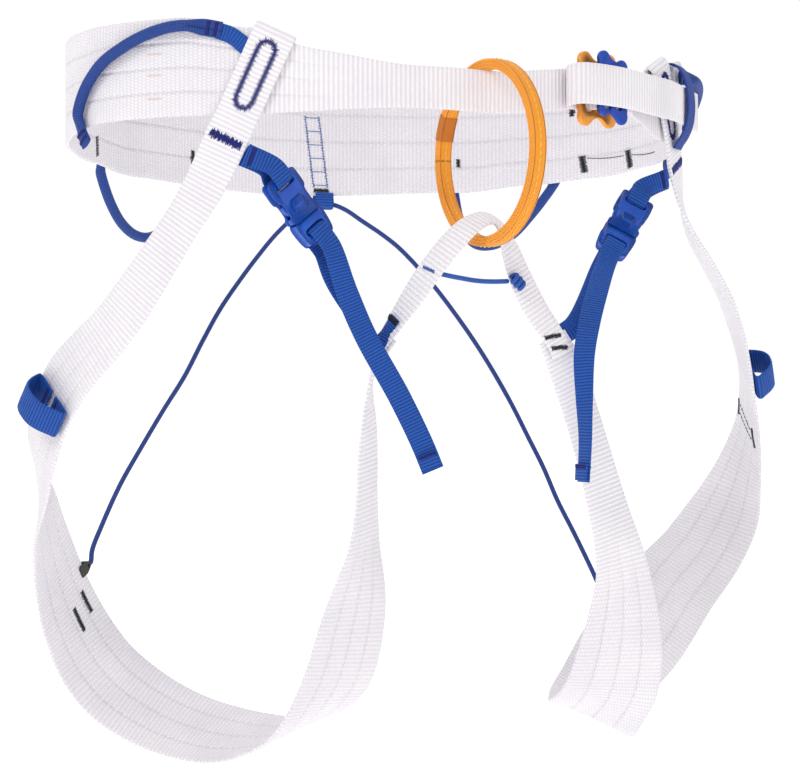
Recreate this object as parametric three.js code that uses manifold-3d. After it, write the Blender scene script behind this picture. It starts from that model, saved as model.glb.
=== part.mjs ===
// Ultralight ski-mountaineering harness: split-webbing waist belt, two leg loops, belay loop,
// four gear loops, two side-release leg buckles and rear elastics.
// Millimetres, +Z up. The belay loop is at -Y and the wearer's right side is at -X.
// The origin is the centre of the waist opening, at the level where the belt is closed.
import * as THREE from "three";
import { mergeVertices } from "three/addons/utils/BufferGeometryUtils.js";
import Module from "manifold-3d";

const wasm = await Module();
wasm.setup();

// ---------------------------------------------------------------- driving dimensions
const WAIST = { a: 170, b: 115 };          // half axes of the waist ellipse
const BELT_THICKNESS = 2.4;
const STRAP_WIDTH = 20;
const STRAP_THICKNESS = 1.6;
const BAND_THICKNESS = 1.8;                // leg-loop webbing
const BRIDGE_THICKNESS = 1.6;
const BLUE_WEB = { width: 10.5, thickness: 1.4 };
const GAP = 0.35;                          // clearance kept between touching pieces

const BELT_CUT_ANGLE = 133;                // where the belt webbing ends under each riser
const BUCKLE_ANGLE = -70.5;                // middle of the waist buckle

const BELAY = { x: -8.5, y: -115, z: -33, radius: 42.2, width: 7, thickness: 4.6 };
const LEG_KEEPER = { reach: 12.5, height: 13, wall: 1.4, length: 15, lift: 0.5 };
const GEAR_TUBE = 5.4;
const ELASTIC = 2.6;
const SHORT_CORD = 2.4;

const WHITE = { color: 0xf4f3f8, roughness: 0.85, metalness: 0 };
const BLUE = { color: 0x1d49a8, roughness: 0.75, metalness: 0 };
const BLUE_PLASTIC = { color: 0x1c48a6, roughness: 0.35, metalness: 0 };
const ORANGE_WEB = { color: 0xf59b2b, roughness: 0.7, metalness: 0 };
const ORANGE_METAL = { color: 0xe08a35, roughness: 0.3, metalness: 1 };
const BLUE_METAL = { color: 0x23409a, roughness: 0.3, metalness: 1 };
const BLACK = { color: 0x1b1c20, roughness: 0.6, metalness: 0 };

// ---------------------------------------------------------------- helpers
const harness = new THREE.Group();
const v = (x, y, z) => new THREE.Vector3(x, y, z);
const rad = THREE.MathUtils.degToRad;

// Turns a geometry into one merged closed mesh whose faces point outward.
function closed(geometry) {
  const bare = geometry.index ? geometry.clone() : geometry;
  bare.deleteAttribute("normal");
  bare.deleteAttribute("uv");
  const merged = mergeVertices(bare, 1e-4);
  const p = merged.attributes.position;
  const all = Array.from(merged.index.array);
  const index = [];
  for (let i = 0; i < all.length; i += 3) {
    const [a, b, c] = all.slice(i, i + 3);
    if (a !== b && b !== c && c !== a) index.push(a, b, c);
  }
  const corner = (i) => new THREE.Vector3().fromBufferAttribute(p, index[i]);
  let volume = 0;
  for (let i = 0; i < index.length; i += 3) {
    volume += corner(i).dot(corner(i + 1).cross(corner(i + 2)));
  }
  if (volume < 0) {
    for (let i = 0; i < index.length; i += 3) {
      [index[i + 1], index[i + 2]] = [index[i + 2], index[i + 1]];
    }
  }
  merged.setIndex(index);
  merged.computeVertexNormals();
  return merged;
}

function add(name, geometry, look, matrix = null) {
  const mesh = new THREE.Mesh(closed(geometry), new THREE.MeshStandardMaterial(look));
  mesh.name = name;
  if (matrix) {
    matrix.decompose(mesh.position, mesh.quaternion, mesh.scale);
  }
  harness.add(mesh);
  return mesh;
}

// Skins a row of closed sections with equal point counts and caps both ends.
function loft(sections) {
  const count = sections[0].length;
  const positions = sections.flat().flatMap((p) => [p.x, p.y, p.z]);
  const index = [];
  for (let i = 0; i + 1 < sections.length; i += 1) {
    for (let j = 0; j < count; j += 1) {
      const k = (j + 1) % count;
      const [a, b] = [i * count + j, i * count + k];
      const [c, d] = [a + count, b + count];
      index.push(a, b, d, a, d, c);
    }
  }
  const last = (sections.length - 1) * count;
  for (let j = 1; j + 1 < count; j += 1) {
    index.push(0, j + 1, j, last, last + j, last + j + 1);
  }
  const geometry = new THREE.BufferGeometry();
  geometry.setAttribute("position", new THREE.Float32BufferAttribute(positions, 3));
  geometry.setIndex(index);
  return geometry;
}

// The frame of a webbing at one place: middle, half-width vector, face normal and direction.
// A webbing that stands on edge keeps its width upright where it climbs or falls.
function frameOf(middle, half, direction) {
  const upright = half.x === 0 && half.y === 0;
  const along = upright ? v(direction.x, direction.y, 0).normalize() : direction;
  const across = half.clone().addScaledVector(along, -half.dot(along)).setLength(half.length());
  const normal = new THREE.Vector3().crossVectors(along, across).normalize();
  return { middle, half: across, normal, along };
}

// Frames along a webbing given as [x, y, z, half-width x, y, z] stations.
function webFrames(stations, steps, from = 0, to = 1) {
  const middle = new THREE.CatmullRomCurve3(stations.map((s) => v(s[0], s[1], s[2])));
  const half = new THREE.CatmullRomCurve3(
    stations.map((s) => v(s[3], s[4], s[5])), false, "catmullrom", 0.5);
  const frames = [];
  for (let i = 0; i <= steps; i += 1) {
    const t = from + ((to - from) * i) / steps;
    frames.push(frameOf(middle.getPoint(t), half.getPoint(t), middle.getTangent(t)));
  }
  return frames;
}

// A flat webbing of one thickness through a row of frames.
function webbing(frames, thickness) {
  return loft(frames.map(({ middle, half, normal }) => {
    const up = normal.clone().multiplyScalar(thickness / 2);
    return [
      middle.clone().add(half).add(up),
      middle.clone().sub(half).add(up),
      middle.clone().sub(half).sub(up),
      middle.clone().add(half).sub(up),
    ];
  }));
}

// A round tube along hand-set route points.
function tube(points, diameter, sides, steps) {
  const section = new THREE.Shape();
  for (let i = 0; i < sides; i += 1) {
    const angle = (2 * Math.PI * i) / sides;
    const [x, y] = [(diameter / 2) * Math.cos(angle), (diameter / 2) * Math.sin(angle)];
    if (i === 0) section.moveTo(x, y);
    else section.lineTo(x, y);
  }
  section.closePath();
  const path = new THREE.CatmullRomCurve3(points.map((p) => v(...p)));
  return new THREE.ExtrudeGeometry(section, { steps, bevelEnabled: false, extrudePath: path });
}

function basis(x, y, z, origin) {
  return new THREE.Matrix4().makeBasis(x, y, z).setPosition(origin);
}

function solid(geometry) {
  const mesh = closed(geometry);
  const vertProperties = new Float32Array(mesh.attributes.position.array);
  const triVerts = new Uint32Array(mesh.index.array);
  return new wasm.Manifold(new wasm.Mesh({ numProp: 3, vertProperties, triVerts }));
}

function fromSolid(manifold) {
  const mesh = manifold.getMesh();
  const geometry = new THREE.BufferGeometry();
  geometry.setAttribute("position", new THREE.Float32BufferAttribute(mesh.vertProperties, 3));
  geometry.setIndex(Array.from(mesh.triVerts));
  return geometry;
}

function block(x0, x1, y0, y1, z0, z1) {
  const box = new THREE.BoxGeometry(x1 - x0, y1 - y0, z1 - z0);
  return solid(box.translate((x0 + x1) / 2, (y0 + y1) / 2, (z0 + z1) / 2));
}

// ---------------------------------------------------------------- waist belt
// A point on the waist ellipse pushed outward, with its outward normal.
function onWaist(degrees, out, z) {
  const [c, s] = [Math.cos(rad(degrees)), Math.sin(rad(degrees))];
  const normal = v(WAIST.b * c, WAIST.a * s, 0).normalize();
  const middle = v(WAIST.a * c, WAIST.b * s, z).addScaledVector(normal, out);
  return { middle, normal };
}

// [degrees from the belt's front, lower edge, upper edge]
const BELT_PROFILE = [
  [0, -13.7, 6.3], [18, -13.4, 6.9], [25, -14.5, 9.5], [35, -16.5, 14], [44, -18, 22.5],
  [58, -18, 28], [80, -18.5, 27.5], [90, -21, 27], [110, -25, 26.5], [128, -28, 26],
  [143, -32, 26], [180, -36, 26],
];

function beltEdges(degrees) {
  const turn = Math.abs(THREE.MathUtils.euclideanModulo(degrees + 90 + 180, 360) - 180);
  const next = Math.max(1, BELT_PROFILE.findIndex((row) => row[0] >= turn));
  const [a, b] = [BELT_PROFILE[next - 1], BELT_PROFILE[next]];
  const t = THREE.MathUtils.smoothstep(turn, a[0], b[0]);
  return [THREE.MathUtils.lerp(a[1], b[1], t), THREE.MathUtils.lerp(a[2], b[2], t)];
}

function beltFrame(degrees) {
  const [low, high] = beltEdges(degrees);
  const { middle, normal } = onWaist(degrees, 0, (low + high) / 2);
  return { middle, normal, half: v(0, 0, (high - low) / 2) };
}

function beltRun(from, to, step) {
  const count = Math.ceil(Math.abs(to - from) / step);
  return Array.from({ length: count + 1 }, (_, i) => beltFrame(from + ((to - from) * i) / count));
}

const beltFrames = beltRun(-BELT_CUT_ANGLE, BELT_CUT_ANGLE - 180 - 360, 5);
add("waist_belt", webbing(beltFrames, BELT_THICKNESS), WHITE);

// ---------------------------------------------------------------- waist buckle frame
const buckleSeat = onWaist(BUCKLE_ANGLE, 0, 1.2);
const buckleAlong = v(-buckleSeat.normal.y, buckleSeat.normal.x, 0);

// A place s along the belt and h outward from it, measured at the waist buckle.
function atBuckle(s, h, z = 0) {
  return buckleSeat.middle.clone()
    .addScaledVector(buckleAlong, s)
    .addScaledVector(buckleSeat.normal, h)
    .add(v(0, 0, z));
}

function buckleStation(s, h, z = 0, width = STRAP_WIDTH) {
  const p = atBuckle(s, h, z);
  return [p.x, p.y, p.z, 0, 0, width / 2];
}

function waistStation(degrees, out, low, high) {
  const { middle } = onWaist(degrees, out, (low + high) / 2);
  return [middle.x, middle.y, middle.z, 0, 0, (high - low) / 2];
}

// Front strap: from under the right riser, through the belay loop, round the buckle's right bar.
const frontStrapRun = [-132.3, -129, -125, -120, -115, -108, -99, -90].map((angle) => {
  return waistStation(angle, 0, ...beltEdges(angle));
});
const frontStrapEnd = [
  buckleStation(-37, -3.6, -2.5), buckleStation(-26, -1.8, -1.2), buckleStation(-16, -1.1),
  buckleStation(0, -0.9), buckleStation(8, -0.9), buckleStation(11.4, -0.3), buckleStation(12.9, 1.8),
  buckleStation(12.9, 4), buckleStation(11.5, 5.8), buckleStation(8.4, 6.1), buckleStation(5.8, 5.3),
  buckleStation(5, 3.4), buckleStation(4, 1.7), buckleStation(2, 1.1), buckleStation(-3, 1.1),
];
const frontStrap = [...frontStrapRun, ...frontStrapEnd];
add("front_strap", webbing(webFrames(frontStrap, 88), STRAP_THICKNESS), WHITE);

// Adjusting strap: narrows from the belt's left end, goes down between the buckle's bars, folds
// back round the left bar and runs out over the buckle to its tail.
const adjustingStrap = [
  waistStation(-47.6, 0, ...beltEdges(-47.6)),
  waistStation(-51, 0, -17, 16.5),
  waistStation(-56, 0.6, -12, 11.5), waistStation(-60.6, 3, -9.6, 11.2),
  buckleStation(18.5, 6.9), buckleStation(13, 7.8), buckleStation(4, 7.9), buckleStation(-3, 7.6),
  buckleStation(-6.4, 6), buckleStation(-7.6, 3.6), buckleStation(-9.3, 1.6), buckleStation(-13, 1.15),
  buckleStation(-18, 1.3), buckleStation(-22, 2.6), buckleStation(-24, 5.4, 0.5),
  buckleStation(-23.4, 9, 1), buckleStation(-20, 11.6, 1.4), buckleStation(-14, 12.6, 1.5),
  buckleStation(0, 12.7, 1.5), buckleStation(14, 12.4, 1),
  waistStation(-58.5, 12, -8.8, 11.2), waistStation(-52, 11.2, -9, 11),
  waistStation(-47, 10, -9.4, 10.6),
  waistStation(-43, 9.2, -9.7, 10.3), waistStation(-39, 9.4, -10, 10),
  waistStation(-35.5, 10.6, -10.4, 9.6),
];
add("adjusting_strap", webbing(webFrames(adjustingStrap, 110), STRAP_THICKNESS), WHITE);

// A buckle plate with two strap slots and a round lobe on each corner. Its edges dip between the
// lobes, which are drawn clockwise from the upper left. The taper lowers two opposite lobes.
function bucklePlate({ length, height, lobe, dip, taper, thickness, slots }) {
  const [x, y] = [length / 2 - lobe, height / 2 - lobe];
  const shoulder = lobe * Math.SQRT1_2;
  const outline = new THREE.Shape();
  outline.absarc(-x, y, lobe, rad(200), rad(45), true);
  outline.quadraticCurveTo(0, y + lobe - dip, x - shoulder, y - taper + shoulder);
  outline.absarc(x, y - taper, lobe, rad(135), rad(-20), true);
  outline.absarc(x, -y, lobe, rad(20), rad(-135), true);
  outline.quadraticCurveTo(0, -y - lobe + dip, -x + shoulder, taper - y - shoulder);
  outline.absarc(-x, taper - y, lobe, rad(-45), rad(-200), true);
  outline.closePath();
  for (const [from, to, slotHeight] of slots) {
    const slot = new THREE.Path();
    slot.moveTo(from, -slotHeight / 2);
    slot.lineTo(to, -slotHeight / 2);
    slot.lineTo(to, slotHeight / 2);
    slot.lineTo(from, slotHeight / 2);
    slot.closePath();
    outline.holes.push(slot);
  }
  const options = { depth: thickness, bevelEnabled: false, curveSegments: 9 };
  return new THREE.ExtrudeGeometry(outline, options);
}

// The plates' own axes are along the belt, up, and outward.
function buckleMatrix(s, h, z) {
  return basis(buckleAlong, v(0, 0, 1), buckleSeat.normal.clone(), atBuckle(s, h, z));
}
const WIDE_SLOT = STRAP_WIDTH + 1.4;
const NARROW_SLOT = STRAP_WIDTH + 1;
const BASE_PLATE = {
  length: 27, height: 36.5, lobe: 4.7, dip: 7, taper: 0, thickness: 2.4,
  slots: [[-9.2, -2.2, WIDE_SLOT], [1.8, 9, NARROW_SLOT]],
};
const SLIDER_PLATE = {
  length: 21, height: 35.5, lobe: 4, dip: 5.5, taper: 3.6, thickness: 2.2,
  slots: [[-6.4, -1.6, WIDE_SLOT], [1.6, 6.4, NARROW_SLOT]],
};
add("waist_buckle_base", bucklePlate(BASE_PLATE), ORANGE_METAL, buckleMatrix(-2, 2.3, 0.2));
add("waist_buckle_slider", bucklePlate(SLIDER_PLATE), BLUE_METAL, buckleMatrix(2, 9.1, 1));

// ---------------------------------------------------------------- riser anchors
// Each riser climbs the outside of the belt, folds over its top edge and is sewn inside.
const RISER_LEAN = 24;
const RISER_FOOT = { angle: 138, z: -27 };
function riserStation(side, out, z) {
  const turn = ((z - RISER_FOOT.z) * Math.tan(rad(RISER_LEAN))) / 2.55;
  const { middle, normal } = onWaist(-(RISER_FOOT.angle - turn), out, z);
  const forward = v(-normal.y, normal.x, 0).multiplyScalar(Math.cos(rad(RISER_LEAN)));
  const half = forward.add(v(0, 0, -Math.sin(rad(RISER_LEAN)))).multiplyScalar(STRAP_WIDTH / 2);
  return [-side * middle.x, middle.y, middle.z, -side * half.x, half.y, half.z];
}
function riserAnchor(side) {
  const outside = [-26.6, -18, -8, 2, 10, 16].map((z) => riserStation(side, 2.7, z));
  const fold = [[2.2, 19.4], [0, 21.3], [-2.2, 19.4]].map(([out, z]) => riserStation(side, out, z));
  const inside = [14.5, 6, 0, -8].map((z) => riserStation(side, -2.7, z));
  return webbing(webFrames([...outside, ...fold, ...inside], 34), STRAP_THICKNESS);
}
add("right_riser_anchor", riserAnchor(-1), WHITE);
add("left_riser_anchor", riserAnchor(1), WHITE);

// ---------------------------------------------------------------- belay loop
const [tapeHalf, tapeSide, tapeBevel] = [BELAY.thickness / 2, BELAY.width / 2, 1.2];
const belaySection = [
  [tapeBevel - tapeHalf, -tapeSide], [-tapeHalf, tapeBevel - tapeSide],
  [-tapeHalf, tapeSide - tapeBevel], [tapeBevel - tapeHalf, tapeSide],
  [tapeHalf - tapeBevel, tapeSide], [tapeHalf, tapeSide - tapeBevel],
  [tapeHalf, tapeBevel - tapeSide], [tapeHalf - tapeBevel, -tapeSide],
  [tapeBevel - tapeHalf, -tapeSide],
].map(([r, x]) => new THREE.Vector2(BELAY.radius + r, x));
add("belay_loop", new THREE.LatheGeometry(belaySection, 48), ORANGE_WEB,
  new THREE.Matrix4().makeRotationZ(-Math.PI / 2).setPosition(BELAY.x, BELAY.y, BELAY.z));

// ---------------------------------------------------------------- leg loops
// Webbing stations: middle x, y, z and half-width vector x, y, z.
const RIGHT_BAND = [
  [-128.6, -78.4, -28.2, -8.2, 5.4, 3], [-137, -72, -50, -7, 7, 2.2], [-148, -64, -72, -4.8, 8.2, 4.6],
  [-168, -42, -113, -5, 9.8, 6.4], [-184, -15, -143, -4, 13.5, 6], [-185, 14, -176, 1.4, 19, 2.7],
  [-170, 46, -211, 12.4, 16.2, -1.7], [-148, 66, -262, 19, 9, 5], [-129, 63, -294, 19.8, 5, 9.9],
  [-105, 47, -314, 18.4, 6.6, 12], [-82, 15, -322, 18.5, 9.2, 10.4], [-67, -24, -315, 20.9, 9.6, 4.2],
  [-57, -48, -293, 22, 5, -0.8], [-52, -62, -253, 19, 4, -1.2], [-51, -70, -216, 11.4, 8, -0.8],
  [-53, -77, -170, 7.8, 6.1, -0.2], [-55, -84, -139, 3.5, 6.7, 0.4], [-50.5, -93, -120, 0.3, 6.6, 2.2],
];
const LEFT_BAND = [
  [30, -111.5, -120, -8.4, -0.5, -0.9], [36, -112.5, -132, -9.4, 0.3, -0.9],
  [44, -112, -150, -10, 0.1, -1], [60, -113, -198, -10.8, 0.4, -1.2],
  [71, -112, -235, -14, 2.3, -2.1], [76, -104, -272, -20.5, 6.3, -0.2],
  [80, -89, -298, -24.2, 5.5, 4.2], [84, -68, -313, -21.5, 7, 9.5], [93, -54, -313, -16.5, 13.5, 11.7],
  [108, -43, -304, -14.1, 13.8, 14.2], [126, -33, -290, -12.7, 11.6, 18.1],
  [147, -25, -277, -10.5, 13.2, 18.6], [173, -17, -254, -9.1, 16.7, 15.7],
  [197, -14, -233, -5.4, 19.8, 13], [215, -14, -206, -1, 19.4, 12], [219, -25, -170, 5.1, 17, 7.5],
  [205, -41, -138, 7, 13.6, 2.3], [181, -55, -99, 4.1, 11.3, 1.2], [148, -67, -63, 4.4, 9.2, 0.8],
  [137, -73, -48, 6.3, 7.6, 1.6], [128.6, -78.4, -28.2, 8.2, 5.4, 3],
];
add("right_leg_band", webbing(webFrames(RIGHT_BAND, 84), BAND_THICKNESS), WHITE);
add("left_leg_band", webbing(webFrames(LEFT_BAND, 92), BAND_THICKNESS), WHITE);

// Bridge strap through the belay loop, in two halves that meet inside the ring.
const BRIDGE = [
  [-50, -94.3, -118.4, -0.2, 6, 2.4], [-44, -103, -102, -2.1, 5.6, 2.4],
  [-37, -110, -88, -2.8, 5.2, 2.6], [-27, -114.5, -74.5, -2.4, 5.1, 3.2],
  [-17.5, -115.3, -66.6, -1, 5.5, 3.3], [-8.5, -114.2, -64, 0.8, 5.7, 3],
  [0, -112, -68.6, 3.2, 4.4, 3.4], [6, -110.5, -78, 5.1, 2, 3.4], [13, -109.5, -92, 5.9, 0.2, 2.8],
  [21, -110, -106, 6, -0.4, 2.3], [29, -111.4, -118.3, 6, 0, 1.6],
];
const RING_GAP = 0.012;
add("right_bridge_strap", webbing(webFrames(BRIDGE, 18, 0, 0.5 - RING_GAP), BRIDGE_THICKNESS), WHITE);
add("left_bridge_strap", webbing(webFrames(BRIDGE, 18, 0.5 + RING_GAP, 1), BRIDGE_THICKNESS), WHITE);

// A D-shaped keeper of wide blue web standing on the outer face of a leg band.
function keeperLoop(band, place, outward) {
  const [frame] = webFrames(band, 1, place, place);
  const normal = frame.normal.clone().multiplyScalar(outward);
  const across = frame.half.clone().normalize();
  const along = new THREE.Vector3().crossVectors(across, normal);
  const { reach, height, wall, length } = LEG_KEEPER;
  const shape = new THREE.Shape();
  shape.moveTo(-reach, 0);
  shape.lineTo(reach, 0);
  shape.bezierCurveTo(reach + 1.5, height * 0.8, reach - 4, height, 2, height);
  shape.bezierCurveTo(-reach - 2, height, -reach - 2, height * 0.6, -reach, 0);
  const hole = new THREE.Path();
  hole.moveTo(-reach + wall, wall);
  hole.lineTo(reach - wall, wall);
  hole.bezierCurveTo(reach, height * 0.75, reach - 4.5, height - wall, 2, height - wall);
  hole.bezierCurveTo(-reach - 0.5, height - wall, -reach - 0.5, height * 0.6, -reach + wall, wall);
  shape.holes.push(hole);
  const origin = frame.middle.clone()
    .addScaledVector(normal, BAND_THICKNESS / 2 + GAP + LEG_KEEPER.lift)
    .addScaledVector(along, -length / 2);
  return [new THREE.ExtrudeGeometry(shape, { depth: length, bevelEnabled: false, curveSegments: 7 }),
    BLUE, basis(across, normal, along, origin)];
}
add("right_keeper_loop", ...keeperLoop(RIGHT_BAND, 4.3 / 17, -1));
add("left_keeper_loop", ...keeperLoop(LEFT_BAND, 16 / 20, -1));

// ---------------------------------------------------------------- gear loops
// Routes as [degrees round the waist, outward, height].
const GEAR_LOOPS = {
  front_right_gear_loop: [
    [-139.5, 4.6, 21], [-142.5, 4.8, 22.5], [-147, 5, 23.5], [-151, 5, 22.5],
    [-156.5, 5, 19], [-161.5, 5, 14.5], [-167, 5, 8.5], [-172, 5, -0.5], [-175, 5, -9], [-176, 5, -15],
    [-175.5, 5, -22], [-173.5, 5, -28],
  ],
  front_left_gear_loop: [
    [-39, 5.5, 17.5], [-35, 7, 17.8], [-30, 9, 17], [-24, 10, 14.5], [-19, 10, 10], [-14, 9, 3],
    [-10, 7.5, -5], [-7, 6, -13], [-6, 5, -20], [-7.5, 5, -28],
  ],
  rear_right_gear_loop: [
    [137, 4.8, -16], [136, 4.8, -28], [134.4, 5, -36.5], [131.3, 5.4, -48], [127.8, 5.8, -57],
    [123.8, 6, -62.5], [119.8, 6, -63], [115, 5.8, -56], [111.5, 5.2, -42], [109.5, 4.8, -27],
    [109, 4.8, -16],
  ],
  rear_left_gear_loop: [
    [30.5, 4.8, -14], [31.5, 4.8, -26], [34, 5, -35], [37.3, 5.4, -45], [41.5, 5.8, -56],
    [46, 6, -62], [49.8, 6, -61], [52.6, 5.6, -50], [54, 5, -34], [54.6, 4.8, -16],
  ],
};
for (const [name, route] of Object.entries(GEAR_LOOPS)) {
  const points = route.map(([angle, out, z]) => onWaist(angle, out, z).middle.toArray());
  add(name, tube(points, GEAR_TUBE, 8, 28), BLUE_PLASTIC);
}

// ---------------------------------------------------------------- tail keeper
const TAIL_KEEPER = { angle: -43, width: 12.4, thickness: 1.1 };
const keeperSeat = onWaist(TAIL_KEEPER.angle, 0, 0);
const keeperAlong = v(-keeperSeat.normal.y, keeperSeat.normal.x, 0);
// Its arch as [outward, height].
const KEEPER_ARCH = [
  [2.2, 22.5], [4.6, 22], [7.6, 19.5], [10.4, 14], [12, 6], [12.2, -2], [11, -9.5], [8.6, -15],
  [6.2, -18.4], [4.6, -21],
];
const keeperHalf = keeperAlong.clone().multiplyScalar(TAIL_KEEPER.width / 2).toArray();
const keeperStations = KEEPER_ARCH.map(([out, z]) => {
  const p = keeperSeat.middle.clone().addScaledVector(keeperSeat.normal, out);
  return [p.x, p.y, z, ...keeperHalf];
});
add("tail_keeper", webbing(webFrames(keeperStations, 30), TAIL_KEEPER.thickness), BLUE);

// ---------------------------------------------------------------- leg buckles
// Both halves lie along x from the short web's end. A slot is [from, to] with a half width.
const SLOT_HALF = 6;
const FEMALE = {
  length: 22, width: 17, depth: 6.4, slot: [2.4, 5.8], tunnel: 8, mouth: 13.2, throat: 3.8,
  window: [10.5, 18.5],
};
const MALE = {
  start: 22.4, end: 35, width: 16.4, depth: 6, slot: [26.6, 31],
  prong: { tip: 11.4, inner: 4, outer: 6.2, depth: 3 }, guide: { tip: 14, width: 1.8, depth: 2.8 },
};

function femaleBuckle() {
  const [w, d, m, t] = [FEMALE.width / 2, FEMALE.depth / 2, FEMALE.mouth / 2, FEMALE.throat / 2];
  return block(0, FEMALE.length, -w, w, -d, d)
    .subtract(block(...FEMALE.slot, -SLOT_HALF, SLOT_HALF, -d - 1, d + 1))
    .subtract(block(FEMALE.tunnel, FEMALE.length + 1, -m, m, -t, t))
    .subtract(block(...FEMALE.window, -w - 1, w + 1, -t, t));
}

function maleBuckle() {
  const [w, d] = [MALE.width / 2, MALE.depth / 2];
  const { prong, guide } = MALE;
  const root = MALE.start + 1;
  return block(MALE.start, MALE.end, -w, w, -d, d)
    .add(block(prong.tip, root, prong.inner, prong.outer, -prong.depth / 2, prong.depth / 2))
    .add(block(prong.tip, root, -prong.outer, -prong.inner, -prong.depth / 2, prong.depth / 2))
    .add(block(guide.tip, root, -guide.width / 2, guide.width / 2, -guide.depth / 2, guide.depth / 2))
    .subtract(block(...MALE.slot, -SLOT_HALF, SLOT_HALF, -d - 1, d + 1));
}

// One leg buckle: its frame has x down the strap, z out of its face. The short web and the sewn
// end of the adjusting strap are webbing stations; the tail keeps one half-width vector.
const LEG_BUCKLES = {
  right: {
    eye: v(-106.8, -86.1, -47), aim: v(0.616, -0.048, -0.786),
    facing: v(0.15, -0.99, 0),
    web: [-121.8, -83.6, -36.5, 1.6, -1.6, 4.7],
    sewn: [
      [-49.9, -97.6, -111.5, -0.8, 4.7, 2.1], [-52.8, -93.2, -119.3, -0.4, 4.6, 2.4],
      [-57, -92.5, -123, 1.5, 3.6, 3.5], [-64, -94, -119, 3, 2.4, 3.6],
      [-71, -94.5, -109, 3.8, 1.4, 3.3], [-78, -90, -95, 4.1, 0.8, 3.2],
    ],
    tail: [
      [-79, -101, -104], [-72, -108, -122], [-60, -118, -148], [-51, -123, -169], [-46, -126, -183],
    ],
    tailHalf: [4.2, -2.4, 2],
  },
  left: {
    eye: v(101.9, -81.9, -48.5), aim: v(-0.598, -0.169, -0.784),
    facing: v(-0.5, -0.87, 0),
    web: [119.2, -84.8, -36.5, 1.6, 1.6, -4.7],
    sewn: [
      [32, -107.4, -123, 2.8, -1.2, -4.3], [37, -108.2, -119.3, 3.4, -1.4, -3.7],
      [43.6, -110, -114.5, 3.9, -1.8, -3],
    ],
    tail: [
      [58, -110, -96], [46, -120, -113], [39.5, -125, -129], [37.5, -128, -151], [38, -128, -170],
      [37, -128, -190],
    ],
    tailHalf: [4.6, -2.6, -0.4],
  },
};

for (const [side, buckle] of Object.entries(LEG_BUCKLES)) {
  const along = buckle.aim.clone().normalize();
  const face = buckle.facing.clone().addScaledVector(along, -buckle.facing.dot(along)).normalize();
  const across = new THREE.Vector3().crossVectors(face, along);
  const frame = basis(along, across, face, buckle.eye);
  const half = across.clone().multiplyScalar(BLUE_WEB.width / 2).toArray();
  const station = (x, z) => {
    const p = v(x, 0, z).applyMatrix4(frame);
    return [p.x, p.y, p.z, ...half];
  };
  add(`${side}_buckle_female`, fromSolid(femaleBuckle()), BLUE_PLASTIC, frame);
  add(`${side}_buckle_male`, fromSolid(maleBuckle()), BLUE_PLASTIC, frame);

  // Short web: out from the riser's edge, round the female buckle's bar and back on itself.
  const start = buckle.web;
  const away = face.clone().multiplyScalar(-2.4);
  const under = v(...start.slice(0, 3)).add(away).toArray().concat(start.slice(3));
  const web = [start, station(-6, 3.4), station(-1, 4.6), station(2.4, 4.2), station(4.1, 2.2),
    station(4.1, -2.2), station(2.4, -4.2), station(-1, -4.6), station(-6, -2.4), under];
  add(`${side}_buckle_web`, webbing(webFrames(web, 40), BLUE_WEB.thickness), BLUE);

  // Adjusting strap: sewn end, up behind the male buckle, round its bar and down as the tail.
  const strap = [
    ...buckle.sewn, station(43, -4.4), station(33, -4.4),
    station(30, -3.9), station(28.8, -2), station(28.8, 2), station(30, 3.9), station(33, 4.4),
    station(40, 4.8),
    ...buckle.tail.map((p) => [...p, ...buckle.tailHalf]),
  ];
  add(`${side}_buckle_strap`, webbing(webFrames(strap, 80), BLUE_WEB.thickness), BLUE);
}

// ---------------------------------------------------------------- rear elastics
const SLEEVE = { angle: 81.8, z: -40.2, length: 11, outer: 3.4, inner: 1.9 };
const sleeveSeat = onWaist(SLEEVE.angle, 0, SLEEVE.z);
const sleeveAlong = v(-sleeveSeat.normal.y, sleeveSeat.normal.x, 0);
const sleeveShape = new THREE.Shape();
sleeveShape.absarc(0, 0, SLEEVE.outer, 0, 2 * Math.PI);
const sleeveHole = new THREE.Path();
sleeveHole.absarc(0, 0, SLEEVE.inner, 0, 2 * Math.PI);
sleeveShape.holes.push(sleeveHole);
add("rear_sleeve", new THREE.ExtrudeGeometry(sleeveShape,
  { depth: SLEEVE.length, bevelEnabled: false, curveSegments: 8 }), BLUE,
  basis(sleeveSeat.normal.clone(), v(0, 0, 1), sleeveAlong.clone().negate(),
    sleeveSeat.middle.clone().addScaledVector(sleeveAlong, SLEEVE.length / 2)));

const RIGHT_ELASTIC = [
  [23.8, 113.8, -40.2], [18, 114.2, -40.3], [12, 114.6, -42.6], [6, 115, -48], [-6, 115, -59],
  [-18, 114, -72], [-30, 112.5, -86], [-42, 110.5, -101], [-54, 108, -119], [-66, 105, -138],
  [-81, 100.5, -157], [-96, 96, -177], [-110, 91, -196], [-123.5, 84, -217], [-131, 79, -229.5],
  [-133.1, 75.6, -235.3],
];
const LEFT_ELASTIC = [
  [24.6, 113.8, -40.2], [30.4, 113.3, -40.3], [36, 109, -43.2], [43, 101.5, -50], [52, 95, -57.5],
  [60, 88, -66], [74, 76, -86], [87, 65.5, -108], [95, 58, -124], [102, 51, -140], [108, 44, -156],
  [113, 37, -172], [118, 29, -189], [122, 21, -207], [126.5, 12, -224], [130, 3, -240],
  [131.2, -3.4, -249.7], [130.9, -7.4, -254.7],
];
add("right_rear_elastic", tube(RIGHT_ELASTIC, ELASTIC, 8, 44), BLUE);
add("left_rear_elastic", tube(LEFT_ELASTIC, ELASTIC, 8, 44), BLUE);

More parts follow.
